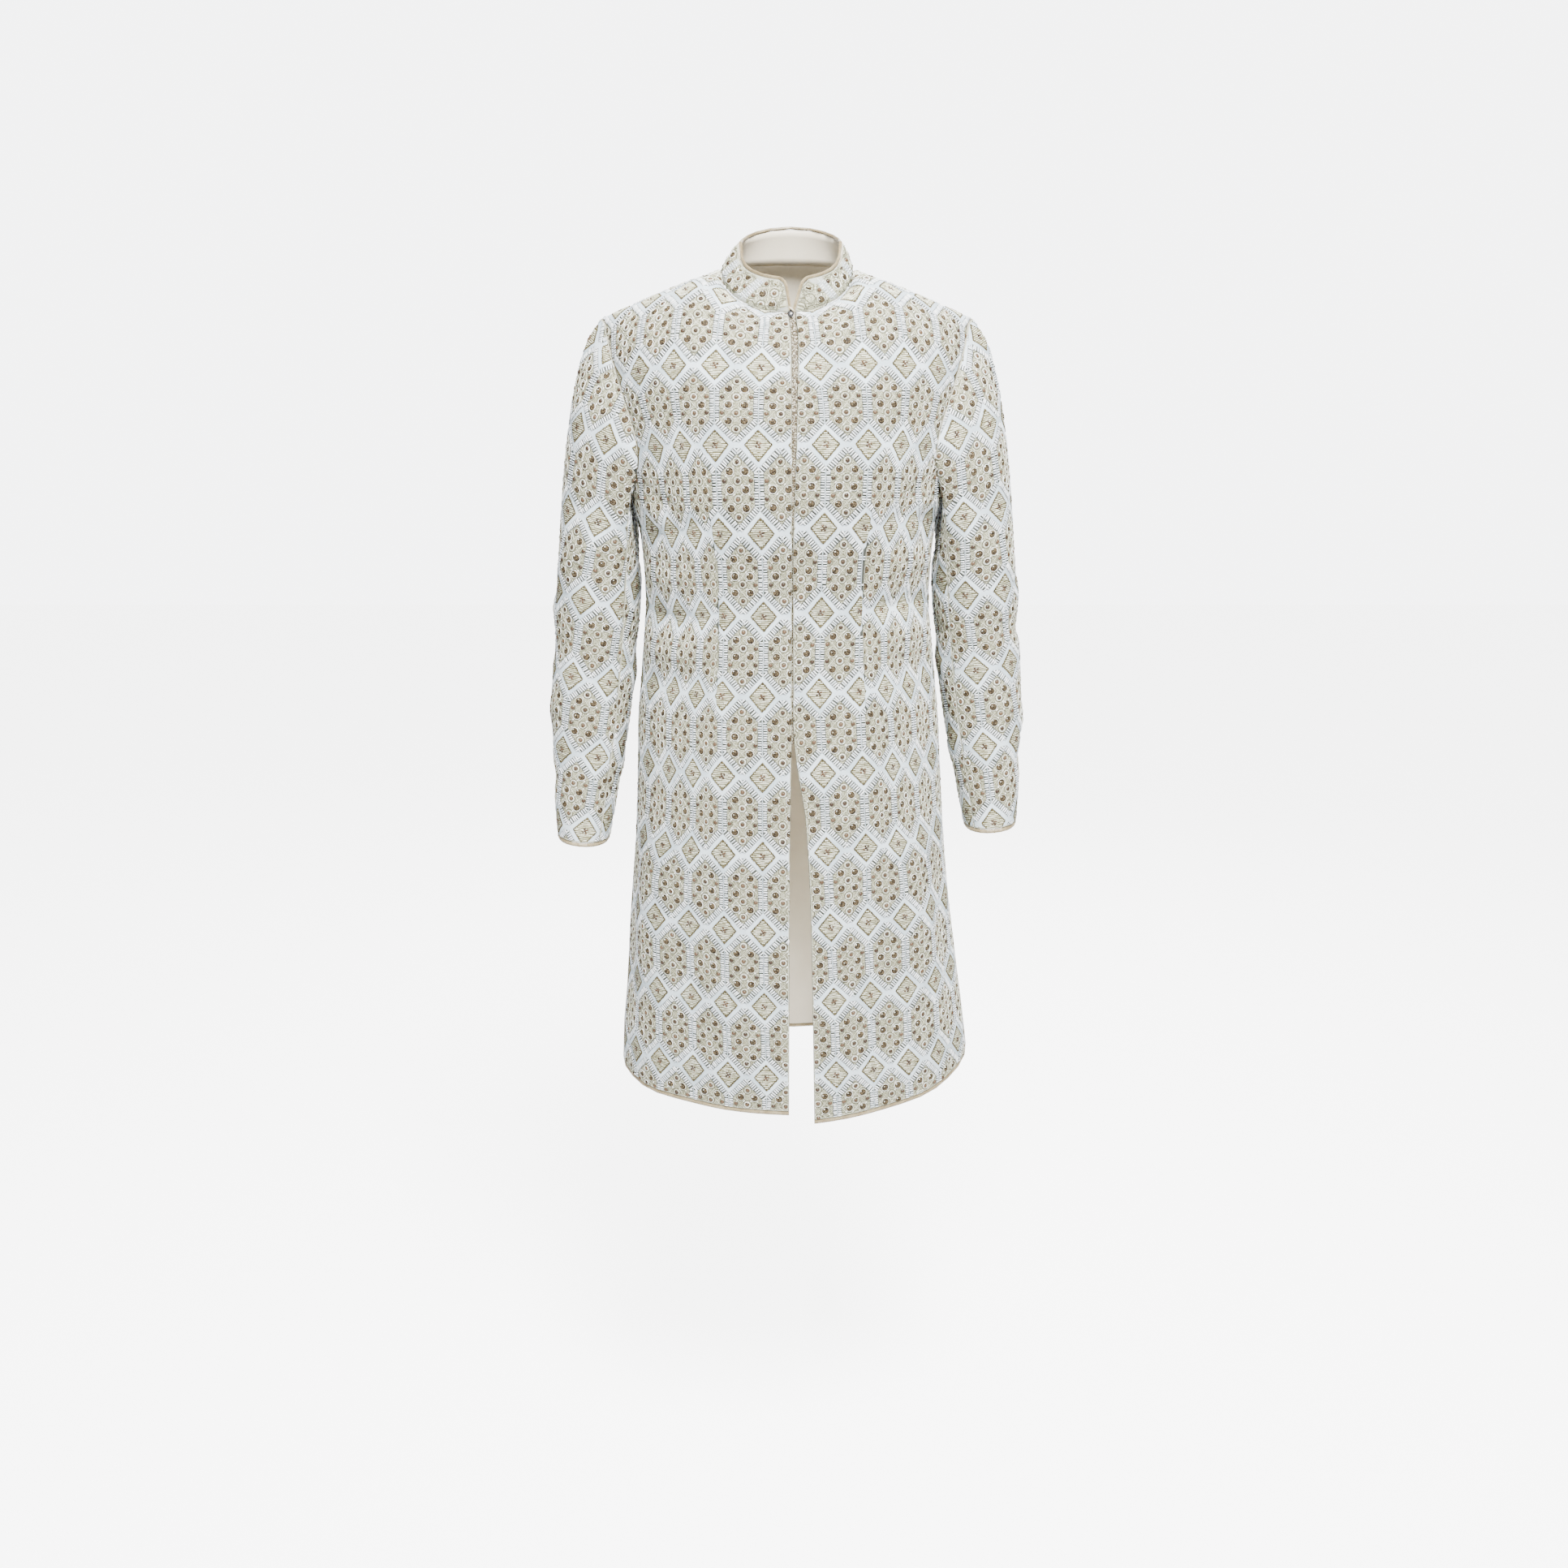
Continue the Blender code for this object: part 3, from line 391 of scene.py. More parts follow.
def gridMesh(name, panel):
    # a cloth sheet on the panel's points, with its pattern places as UVs in metres
    rows, cols = panel["points"].shape[:2]
    bm = bmesh.new()
    bmesh.ops.create_grid(bm, x_segments=cols - 1, y_segments=rows - 1, size=0.5)
    uvLayer = bm.loops.layers.uv.new("pattern")
    rim = bm.verts.layers.float.new("rim")
    place = {}
    for vert in bm.verts:
        place[vert] = round((vert.co.y + 0.5) * (rows - 1)), round((vert.co.x + 0.5) * (cols - 1))
    for vert, spot in place.items():
        vert.co = Vector(panel["points"][spot]) * mm
        vert[rim] = panel["rim"][spot]
    for face in bm.faces:
        face.smooth = True
        for loop in face.loops:
            loop[uvLayer].uv = panel["pattern"][place[loop.vert]] * mm
    return meshOf(bm, name)


def giveWall(piece, thickness):
    wall = piece.modifiers.new("wall", "SOLIDIFY")
    wall.thickness = thickness * mm
    wall.offset = -1
    wall.use_even_offset = True
    wall.material_offset = 1
    wall.material_offset_rim = 1


def calc(tree, operation, *values):
    node = tree.nodes.new("ShaderNodeMath")
    node.operation = operation
    for socket, value in zip(node.inputs, values):
        if isinstance(value, (int, float)):
            socket.default_value = value
        else:
            tree.links.new(value, socket)
    return node.outputs[0]


def ramp(tree, value, low, high, start=0.0, end=1.0):
    node = tree.nodes.new("ShaderNodeMapRange")
    node.interpolation_type = "SMOOTHSTEP"
    for socket, number in zip(node.inputs[1:5], (low, high, start, end)):
        socket.default_value = number
    tree.links.new(value, node.inputs[0])
    return node.outputs[0]


def mixColour(tree, factor, first, second):
    node = tree.nodes.new("ShaderNodeMix")
    node.data_type = "RGBA"
    for socket, value in ((node.inputs[0], factor), (node.inputs[6], first), (node.inputs[7], second)):
        if isinstance(value, (int, float)):
            socket.default_value = value
        elif isinstance(value, tuple):
            socket.default_value = (*value, 1.0)
        else:
            tree.links.new(value, socket)
    return node.outputs[2]


def noise(tree, vector, scale, detail=2.0, stretch=(1, 1, 1)):
    mapping = tree.nodes.new("ShaderNodeMapping")
    mapping.inputs["Scale"].default_value = stretch
    tree.links.new(vector, mapping.inputs[0])
    node = tree.nodes.new("ShaderNodeTexNoise")
    node.inputs["Scale"].default_value = scale
    node.inputs["Detail"].default_value = detail
    tree.links.new(mapping.outputs[0], node.inputs["Vector"])
    return node.outputs["Fac"]


def rgb(*levels):
    # screen colour levels, 0 to 255, as the linear values that a shader takes
    return tuple((v / 255 / 12.92) if v / 255 <= 0.04045 else ((v / 255 + 0.055) / 1.055) ** 2.4 for v in levels)


def newMaterial(name, roughness=0.6, **shader):
    material = bpy.data.materials.new(name)
    material.use_nodes = True
    tree = material.node_tree
    surface = tree.nodes["Principled BSDF"]
    surface.inputs["Roughness"].default_value = roughness
    for socket, value in shader.items():
        surface.inputs[socket.replace("_", " ")].default_value = value
    return material, tree, surface


def feed(surface, socket, value):
    surface.id_data.links.new(value, surface.inputs[socket])


def bumpInto(tree, surface, height, distance, strength=1.0):
    bump = tree.nodes.new("ShaderNodeBump")
    bump.inputs["Distance"].default_value = distance * mm
    bump.inputs["Strength"].default_value = strength
    tree.links.new(height, bump.inputs["Height"])
    feed(surface, "Normal", bump.outputs[0])


def newGroup(name, ins, outs):
    group = bpy.data.node_groups.new(name, "ShaderNodeTree")
    for label, kind, value in ins:
        socket = group.interface.new_socket(label, in_out="INPUT", socket_type=kind)
        if value is not None:
            socket.default_value = value
    for label, kind in outs:
        group.interface.new_socket(label, in_out="OUTPUT", socket_type=kind)
    return group, group.nodes.new("NodeGroupInput").outputs, group.nodes.new("NodeGroupOutput").inputs


def useGroup(tree, group, vector, **values):
    node = tree.nodes.new("ShaderNodeGroup")
    node.node_tree = group
    tree.links.new(vector, node.inputs["Vector"])
    for label, value in values.items():
        node.inputs[label].default_value = value
    return node.outputs


def attribute(tree, name):
    node = tree.nodes.new("ShaderNodeAttribute")
    node.attribute_name = name
    return node.outputs["Fac"]


def objectPlace(tree):
    return tree.nodes.new("ShaderNodeTexCoord").outputs["Object"]


print("mixing the finishes")


def buildJaalCell():
    # masks of the repeat from pattern places in metres: inside a hexagon, its fringe, a diamond, and the
    # grooves between the cells of a hexagon and round its beads, both sunk as height and darkened with painted
    # shade
    tree, ins, outs = newGroup(
        "jaalCell", [("Vector", "NodeSocketVector", None)],
        [(label, "NodeSocketFloat") for label in ("Hexagon", "Fringe", "Diamond", "Groove", "Ribs")],
    )
    kinds = "MULTIPLY", "ADD", "SUBTRACT", "MULTIPLY_ADD", "MAXIMUM", "ABSOLUTE", "FRACT"
    times, plus, minus, timesPlus, most, size, part = (partial(calc, tree, kind) for kind in kinds)
    split = tree.nodes.new("ShaderNodeSeparateXYZ")
    tree.links.new(ins["Vector"], split.inputs[0])
    away = []
    for axis, length in ((0, jaal["across"]), (1, jaal["up"])):
        cells = times(split.outputs[axis], 1000.0 / length)
        for shift in (0.5, 0.0):
            away.append(times(size(minus(part(plus(cells, shift + 100.0)), 0.5)), length))
    hexX, diamondX, hexY, diamondY = away
    slope = jaal["hexSlope"]
    pastTip = minus(hexY, jaal["hexTip"])
    slant = calc(tree, "DIVIDE", timesPlus(hexX, slope, pastTip), math.hypot(1, slope))
    beside = minus(hexX, jaal["hexHalfWidth"])
    outside = most(beside, slant)
    tree.links.new(ramp(tree, outside, 0.4, -0.2), outs["Hexagon"])
    side, slanted = jaal["fringe"]["side"], jaal["fringe"]["slant"]
    reach = most(most(times(beside, slanted / side), slant), times(pastTip, 1.2))
    near = times(ramp(tree, outside, -0.7, -0.2), ramp(tree, reach, slanted + 0.3, slanted - 1.2))
    tree.links.new(near, outs["Fringe"])
    halfWidth, halfHeight = jaal["diamondHalf"]
    kite = timesPlus(diamondX, 1 / halfWidth, times(diamondY, 1 / halfHeight))
    tree.links.new(ramp(tree, kite, 1.09, 1.02), outs["Diamond"])
    tree.links.new(size(calc(tree, "SINE", times(diamondX, math.pi / 2.4))), outs["Ribs"])
    halfX, halfY = jaal["cellHalf"]
    steps = []
    for sign in (1, -1):
        slanting = timesPlus(hexX, 0.5 / halfX, times(hexY, sign * 0.5 / halfY))
        steps.append(minus(part(plus(slanting, 100.0)), 0.5))
    byX, byY = times(plus(*steps), halfX), times(minus(*steps), halfY)
    fromMiddle = calc(tree, "SQRT", plus(times(byX, byX), times(byY, byY)))
    # painted shade: dark rings round the beads and dark lines between the cells, which the bump also sinks
    roundGroove = times(ramp(tree, fromMiddle, 4.2, 4.7), ramp(tree, fromMiddle, 5.8, 5.0))
    lines = times(ramp(tree, most(*[size(step) for step in steps]), 0.43, 0.485), 0.75)
    tree.links.new(most(times(roundGroove, 0.85), lines), outs["Groove"])
    return tree


def buildWeave():
    # plain weave: crossing threads with slubs, as a height
    tree, ins, outs = newGroup(
        "plainWeave", [("Vector", "NodeSocketVector", None), ("Pitch", "NodeSocketFloat", 0.9)],
        [("Height", "NodeSocketFloat"), ("Slub", "NodeSocketFloat")],
    )
    split = tree.nodes.new("ShaderNodeSeparateXYZ")
    tree.links.new(ins["Vector"], split.inputs[0])
    turns = calc(tree, "DIVIDE", 2 * math.pi * 1000, ins["Pitch"])
    waves = [calc(tree, "SINE", calc(tree, "MULTIPLY", split.outputs[i], turns)) for i in (0, 1)]
    product = calc(tree, "MULTIPLY_ADD", calc(tree, "MULTIPLY", *waves), 0.5, 0.5)
    slub = noise(tree, ins["Vector"], 900, 3.0, (1, 0.12, 1))
    tree.links.new(calc(tree, "MULTIPLY_ADD", slub, 0.5, product), outs["Height"])
    tree.links.new(slub, outs["Slub"])
    return tree


jaalCell = buildJaalCell()
plainWeave = buildWeave()


def clothMaterial(name, colours):
    # the ground cloth: pale channels between filled hexagons and diamonds, stitched down along its seams, with
    # painted shade in its grooves, between its ribs and stitches and where it turns in at the seams
    material, tree, surface = newMaterial(name, 0.75, Specular_IOR_Level=0.15)
    uv = tree.nodes.new("ShaderNodeUVMap")
    uv.uv_map = "pattern"
    uv = uv.outputs[0]
    cell = useGroup(tree, jaalCell, uv)
    weave = useGroup(tree, plainWeave, uv, Pitch=colours["pitch"])
    cloudy = noise(tree, uv, 24, 3.0)
    stitches = noise(tree, uv, 750, 1.0)
    ground = mixColour(tree, ramp(tree, cloudy, 0.35, 0.65), colours["channel"], colours["channelDeep"])
    inner = mixColour(tree, ramp(tree, stitches, 0.4, 0.62), colours["hexagon"], colours["hexagonDeep"])
    # painted shade in the grooves between the hexagon's cells and round its beads
    inner = mixColour(tree, calc(tree, "MULTIPLY", cell["Groove"], 0.85), inner, colours["grooveShade"])
    tint = mixColour(tree, cell["Hexagon"], ground, inner)
    # painted shade: the dark ground between the fringe's white stitches
    tint = mixColour(tree, cell["Fringe"], tint, colours["fringe"])
    # painted shade in the gaps between the diamond's ribs
    ribbed = mixColour(tree, ramp(tree, cell["Ribs"], 0.15, 0.5), colours["grooveShade"], colours["diamond"])
    tint = mixColour(tree, cell["Diamond"], tint, ribbed)
    edge = attribute(tree, "rim")
    tint = mixColour(tree, ramp(tree, edge, 2.2, 1.3), tint, colours["edge"])
    # painted shade where the cloth turns in at its seams
    sewn = calc(tree, "MULTIPLY", ramp(tree, edge, 0.9, 0.1), 0.75)
    tint = mixColour(tree, sewn, tint, colours["grooveShade"])
    feed(surface, "Base Color", tint)
    feed(surface, "Roughness", ramp(tree, stitches, 0.3, 0.7, 0.6, 0.82))
    filled = calc(tree, "MULTIPLY", cell["Hexagon"], calc(tree, "SUBTRACT", stitches, cell["Groove"]))
    height = calc(tree, "MULTIPLY_ADD", filled, 1.6, calc(tree, "MULTIPLY", weave["Height"], 0.35))
    bumpInto(tree, surface, height, 0.5, 0.9)
    return material


def speckledMaterial(name, colours):
    # close knots of several threads, for the strip behind the front edge, with painted shade in the gaps between
    # them
    material, tree, surface = newMaterial(name, 0.6, Specular_IOR_Level=0.2)
    place = objectPlace(tree)
    knots = tree.nodes.new("ShaderNodeTexVoronoi")
    knots.inputs["Scale"].default_value = 760
    tree.links.new(place, knots.inputs["Vector"])
    pick = tree.nodes.new("ShaderNodeSeparateColor")
    tree.links.new(knots.outputs["Color"], pick.inputs[0])
    body = mixColour(tree, ramp(tree, pick.outputs[0], 0.25, 0.75), *colours[:2])
    body = mixColour(tree, ramp(tree, pick.outputs[1], 0.62, 0.8), body, colours[2])
    # painted shade: the last colour fills the gaps between the knots, which the bump also sinks
    depth = ramp(tree, knots.outputs["Distance"], 0.7, 0.4)
    feed(surface, "Base Color", mixColour(tree, depth, colours[3], body))
    feed(surface, "Roughness", ramp(tree, pick.outputs[2], 0, 1, 0.4, 0.7))
    bumpInto(tree, surface, depth, 0.5, 0.9)
    return material


def threadMaterial(name, light, deep, foot, roughness, twist, depth, specular):
    # wound thread: each part has its own tone, painted shade darkening its foot towards the cloth, and fine twist
    # along it
    material, tree, surface = newMaterial(name, roughness, Specular_IOR_Level=specular)
    fine = noise(tree, objectPlace(tree), twist, 2.0)
    blend = calc(tree, "MULTIPLY_ADD", fine, 0.6, calc(tree, "SUBTRACT", attribute(tree, "tone"), 0.3))
    body = mixColour(tree, ramp(tree, blend, 0.1, 0.9), light, deep)
    # painted shade: the lower part of each stitch and bead takes its foot colour
    rise = ramp(tree, attribute(tree, "rise"), 0.05, 0.55)
    feed(surface, "Base Color", mixColour(tree, rise, paintedFootShade[foot], body))
    bumpInto(tree, surface, fine, depth)
    return material


# grooveShade is the colour of the painted shade in grooves, between ribs and at the seams' turn
groundColours = {
    # fringe is the painted shade between the fringe's stitches
    "channel": rgb(220, 232, 238), "channelDeep": rgb(190, 204, 211), "hexagon": rgb(192, 192, 167),
    "hexagonDeep": rgb(122, 121, 96), "grooveShade": rgb(66, 60, 43), "fringe": rgb(70, 72, 66),
    "diamond": rgb(110, 105, 75), "edge": rgb(187, 187, 168), "pitch": 1.1,
}
# the last of each four colours is the painted shade between the knots
discColours = rgb(120, 103, 76), rgb(80, 66, 47), rgb(48, 39, 27), rgb(38, 31, 21)
stripColours = rgb(208, 203, 186), rgb(150, 140, 116), rgb(84, 72, 54), rgb(74, 66, 50)
# painted shade at the feet of stitches and beads, where they meet the cloth
paintedFootShade = {"brown": rgb(34, 25, 16), "grey": rgb(66, 65, 58), "tan": rgb(64, 53, 34)}
finishes = {
    "ground": clothMaterial("embroideredGround", groundColours),
    # the collar's fringe, with lighter painted shade between its stitches
    "collarGround": clothMaterial("collarGround", {**groundColours, "fringe": rgb(176, 178, 170)}),
}
# threads and beads: name, colour from light to deep, colour of the painted shade at the foot, roughness, fineness
# of the twist, bump in mm and specular level
threads = {
    "bead": ("brownBead", rgb(98, 76, 56), rgb(58, 44, 32), "brown", 0.25, 1500, 0.05, 0.35),
    "cream": ("creamCord", rgb(250, 251, 240), rgb(210, 208, 188), "grey", 0.5, 2600, 0.25, 0.3),
    "mixed": ("mixedKnots", rgb(112, 94, 69), rgb(64, 52, 37), "tan", 0.4, 1900, 0.25, 0.3),
    "tan": ("tanStitch", rgb(110, 99, 70), rgb(64, 56, 38), "tan", 0.5, 2200, 0.25, 0.2),
    "white": ("whiteStitch", rgb(250, 253, 254), rgb(206, 213, 216), "grey", 0.32, 2600, 0.25, 0.5),
    "rib": ("diamondCord", rgb(236, 236, 213), rgb(184, 181, 150), "tan", 0.42, 2400, 0.25, 0.3),
}
for kind, thread in threads.items():
    finishes[kind] = threadMaterial(*thread)


def liningMaterial():
    material, tree, surface = newMaterial("creamLining", 0.45, Sheen_Weight=0.15)
    place = objectPlace(tree)
    cloudy = noise(tree, place, 30, 3.0)
    feed(surface, "Base Color", mixColour(tree, cloudy, rgb(232, 224, 204), rgb(214, 203, 180)))
    weave = useGroup(tree, plainWeave, place, Pitch=0.7)
    feed(surface, "Roughness", ramp(tree, weave["Slub"], 0.3, 0.7, 0.38, 0.52))
    bumpInto(tree, surface, weave["Height"], 0.1, 0.6)
    return material


finishes["lining"] = liningMaterial()
finishes["knotted"] = speckledMaterial("knottedStrip", stripColours)
finishes["disc"] = speckledMaterial("knottedDisc", discColours)

print("laying the cloth")

for name, panel in panels.items():
    mesh = gridMesh(name + "_cloth", panel)
    face = {"collar": "collarGround", "collar_facing": "lining", "front_underlap": "knotted"}.get(name, "ground")
    mesh.materials.append(finishes[face])
    mesh.materials.append(finishes["lining"])
    piece = newPiece(mesh)
    giveWall(piece, min(cloth["thickness"], panelPlans[name]["wall"] - 0.1))
    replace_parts(piece, name)

print("finishing the bindings and the hook")


def bindingMaterial():
    # satin piping: fine slanting twist with lighter and darker lengths
    material, tree, surface = newMaterial("satinPiping", 0.38, Sheen_Weight=0.2, Sheen_Roughness=0.4)
    place = objectPlace(tree)
    cloudy = noise(tree, place, 90, 3.0)
    twist = noise(tree, place, 1300, 1.0)
    tint = mixColour(tree, ramp(tree, cloudy, 0.3, 0.7), rgb(164, 150, 118), rgb(132, 116, 84))
    tint = mixColour(tree, ramp(tree, twist, 0.55, 0.7), tint, rgb(92, 79, 54))
    feed(surface, "Base Color", tint)
    feed(surface, "Roughness", ramp(tree, twist, 0.3, 0.7, 0.32, 0.5))
    bumpInto(tree, surface, twist, 0.3, 0.7)
    return material


def hookMaterial():
    # dark enamelled wire, worn a little brighter in places
    material, tree, surface = newMaterial("darkHook", 0.3, Metallic=0.6, Coat_Weight=0.4)
    worn = noise(tree, objectPlace(tree), 700, 3.0)
    tint = mixColour(tree, ramp(tree, worn, 0.45, 0.7), rgb(46, 46, 48), rgb(96, 94, 92))
    feed(surface, "Base Color", tint)
    feed(surface, "Roughness", ramp(tree, worn, 0.3, 0.7, 0.24, 0.46))
    bumpInto(tree, surface, worn, 0.05, 0.5)
    return material


finishes["binding"], finishes["hook"] = bindingMaterial(), hookMaterial()
for name in ["collar_piping", "neck_hook", "neck_eye"] + [n for n in nodes if "_binding_" in n]:
    mesh = nodes[name].data
    mesh.materials.clear()
    mesh.materials.append(finishes["hook" if name.startswith("neck") else "binding"])
    mesh.polygons.foreach_set("use_smooth", [True] * len(mesh.polygons))

# the drop of the hook that shows, and the pale thread loop over it, mm
hookDrop = {"place": (1.1, -72.4, -30.2), "lean": -22, "axis": "X", "half": (3.3, 1.3, 4.7)}
hookLoop = {"place": (2.0, -73.4, -25.9), "lean": 38, "axis": "Y", "half": (3.6, 0.8, 0.8)}


def addHook():
    bm = bmesh.new()
    drop = bmesh.ops.create_uvsphere(bm, u_segments=20, v_segments=14, radius=1)["verts"]
    for vert in drop:
        narrow = 1 - 0.72 * max(vert.co.z + 0.1, 0) ** 1.3
        vert.co = Vector((vert.co.x * narrow, vert.co.y * narrow, vert.co.z))
    loop = bmesh.ops.create_uvsphere(bm, u_segments=12, v_segments=8, radius=1)["verts"]
    for verts, shape in ((drop, hookDrop), (loop, hookLoop)):
        lean = Matrix.Rotation(math.radians(shape["lean"]), 4, shape["axis"])
        matrix = Matrix.Translation(shape["place"]) @ lean @ Matrix.Diagonal((*shape["half"], 1))
        bmesh.ops.transform(bm, verts=verts, matrix=matrix)
    for face in {f for v in loop for f in v.link_faces}:
        face.material_index = 1
    for face in bm.faces:
        face.smooth = True
    bmesh.ops.scale(bm, verts=bm.verts, vec=(mm, mm, mm))
    mesh = meshOf(bm, "neck_hook_drop")
    mesh.materials.append(finishes["hook"])
    mesh.materials.append(finishes["lining"])
    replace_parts(newPiece(mesh), "neck_hook")


addHook()

print("working the motifs")

kinds = ["bead", "cream", "mixed", "tan", "white", "rib", "disc"]


def newParts():
    bm = bmesh.new()
    bm.verts.layers.int.new("part")
    return {"bm": bm, "count": 0}


def endPart(parts, verts, kind, matrix):
    # put a finished shape in its place on the flat, number it and give it its thread
    bm = parts["bm"]
    bmesh.ops.transform(bm, matrix=matrix, verts=verts)
    layer = bm.verts.layers.int["part"]
    for vert in verts:
        vert[layer] = parts["count"]
    for face in {f for v in verts for f in v.link_faces}:
        face.material_index = kinds.index(kind)
        face.smooth = True
    parts["count"] += 1


def setAt(x, y, turn=0.0, scale=(1, 1, 1)):
    return Matrix.Translation((x, y, 0)) @ Matrix.Rotation(turn, 4, "Z") @ Matrix.Diagonal((*scale, 1))


def addDome(parts, x, y, radius, height, kind, segments=8):
    # a round bead or knot: the top of a sphere, sunk a little in the cloth
    bm = parts["bm"]
    made = bmesh.ops.create_uvsphere(bm, u_segments=segments, v_segments=4, radius=1)["verts"]
    low = [v for v in made if v.co.z < -0.1]
    made = [v for v in made if v.co.z >= -0.1]
    bmesh.ops.delete(bm, geom=low, context="VERTS")
    endPart(parts, made, kind, setAt(x, y, dice.random() * 3, (radius, radius, height)))


def addRing(parts, x, y, radius, width, height, kind, segments=8):
    # a couched cord laid round a bead
    bm = parts["bm"]
    loops = []
    for reach, level in ((radius + width / 2, -0.1), (radius, height), (radius - width / 2, -0.1)):
        made = bmesh.ops.create_circle(bm, cap_ends=False, segments=segments, radius=reach)["verts"]
        bmesh.ops.translate(bm, verts=made, vec=(0, 0, level))
        loops.append(made)
    for outer, inner in zip(loops, loops[1:]):
        both = set(outer + inner)
        edges = dict.fromkeys(e for v in outer + inner for e in v.link_edges if len(e.link_faces) < 2)
        bmesh.ops.bridge_loops(bm, edges=[e for e in edges if set(e.verts) <= both])
    endPart(parts, [v for loop in loops for v in loop], kind, setAt(x, y, dice.random() * 3))


def addStitch(parts, x, y, turn, length, width, height, kind):
    # one satin stitch: a long low dome
    made = bmesh.ops.create_cone(
        parts["bm"], cap_ends=False, segments=4, radius1=1, radius2=0.55, depth=1
    )["verts"]
    bmesh.ops.rotate(parts["bm"], verts=made, matrix=Matrix.Rotation(math.pi / 4, 3, "Z"))
    bmesh.ops.translate(parts["bm"], verts=made, vec=(0, 0, 0.4))
    ring = [v for v in made if v.co.z > 0.5]
    bmesh.ops.contextual_create(parts["bm"], geom=ring)
    endPart(parts, made, kind, setAt(x, y, turn, (length * 0.7, width * 0.7, height)))


def addCord(parts, start, end, width, height, step, kind):
    # a couched cord in short lengths, ridged along its middle
    start, end = Vector(start), Vector(end)
    pieces = max(1, round((end - start).length / step))
    turn = math.atan2(end.y - start.y, end.x - start.x)
    for n in range(pieces):
        made = bmesh.ops.create_grid(parts["bm"], x_segments=1, y_segments=2, size=0.5)["verts"]
        for vert in made:
            if abs(vert.co.y) < 0.1:
                vert.co.z = 1.0
            else:
                vert.co.z = -0.15
        middle = start.lerp(end, (n + 0.5) / pieces)
        length = (end - start).length / pieces
        endPart(parts, made, kind, setAt(middle.x, middle.y, turn, (length, width, height)))


def hexCorners(grow=0.0):
    # the outline of a hexagon, moved outwards by grow mm, anticlockwise from the right
    slope = jaal["hexSlope"]
    half = jaal["hexHalfWidth"] + grow
    tip = jaal["hexTip"] + grow * math.hypot(1, slope)
    shoulder = tip - slope * half
    return [(half, -shoulder), (half, shoulder), (0, tip), (-half, shoulder), (-half, -shoulder), (0, -tip)]


def insideHexagon(x, y, margin):
    return all(
        (bx - ax) * (y - ay) - (by - ay) * (x - ax) > margin * math.hypot(bx - ax, by - ay)
        for (ax, ay), (bx, by) in zip(hexCorners(), hexCorners()[1:] + hexCorners()[:1])
    )


def addHexagon(parts):
    halfX, halfY = jaal["cellHalf"]
    rosette = jaal["rosette"]
    for y in (-3 * halfY, -halfY, halfY, 3 * halfY):
        addDome(parts, 0, y, *jaal["ringedBead"].values(), "bead")
        addRing(parts, 0, y, *jaal["ring"].values(), "cream")
    for x in (-halfX, halfX):
        for y in (-2 * halfY, 0, 2 * halfY):
            addRing(parts, x, y, *jaal["rosetteRing"].values(), "cream")
            addDome(parts, x, y, rosette["disc"], rosette["discHeight"], "disc", 10)
            for n in range(rosette["knots"]):
                turn = n * 2 * math.pi / rosette["knots"] + dice.random() * 0.4
                reach = rosette["knotRing"] * (0.35 + 0.75 * dice.random())
                spot = x + math.cos(turn) * reach, y + math.sin(turn) * reach
                size = rosette["knotSize"] * (0.85 + 0.3 * dice.random())
                kind = "cream" if n % 5 == 2 else ("mixed", "tan")[n % 2]
                addStitch(parts, *spot, turn + 1.2, size, size * 0.8, rosette["knotHeight"], kind)
    for x in (-jaal["outerDotX"], jaal["outerDotX"]):
        for y in (-halfY, halfY):
            addDome(parts, x, y, *jaal["plainBead"].values(), "bead")
    for rise in (1, -1):
        for line in range(-6, 7, 2):
            # x / halfX + rise * y / halfY = line, kept where it lies inside the hexagon
            kept = []
            for n in range(-90, 91):
                y = n * 0.45
                x = (line - rise * y / halfY) * halfX
                if insideHexagon(x, y, 0.6):
                    kept.append((x, y))
            if len(kept) > 4:
                addCord(parts, kept[0], kept[-1], *jaal["cord"].values(), "rib")
    filling, fringe = jaal["filling"], jaal["fringe"]
    for x in (-halfX * 1.5, -halfX * 0.5, halfX * 0.5, halfX * 1.5):
        for n in range(-7, 8, 2):
            if insideHexagon(x, n * halfY / 2, 2.0):
                turn = math.atan2(halfY, halfX) * (1 if (n + round(x / halfX - 0.5)) % 4 else -1)
                addStitch(parts, x, n * halfY / 2, turn, *filling.values(), "cream")
    corners = hexCorners()
    for n in range(6):
        start, end = corners[n], corners[(n + 1) % 6]
        length = fringe["side" if n % 3 == 0 else "slant"]
        reach = hexCorners(fringe["start"] + length / 2)
        low, high = Vector(reach[n]), Vector(reach[(n + 1) % 6])
        turn = math.atan2(end[1] - start[1], end[0] - start[0]) - math.pi / 2
        count = round((high - low).length / fringe["spacing"])
        for i in range(count):
            spot = low.lerp(high, (i + 0.5) / count)
            lean = turn + (dice.random() - 0.5) * 0.16
            long = length * (0.88 + 0.2 * dice.random())
            addStitch(parts, spot.x, spot.y, lean, long, fringe["width"], fringe["height"], "white")


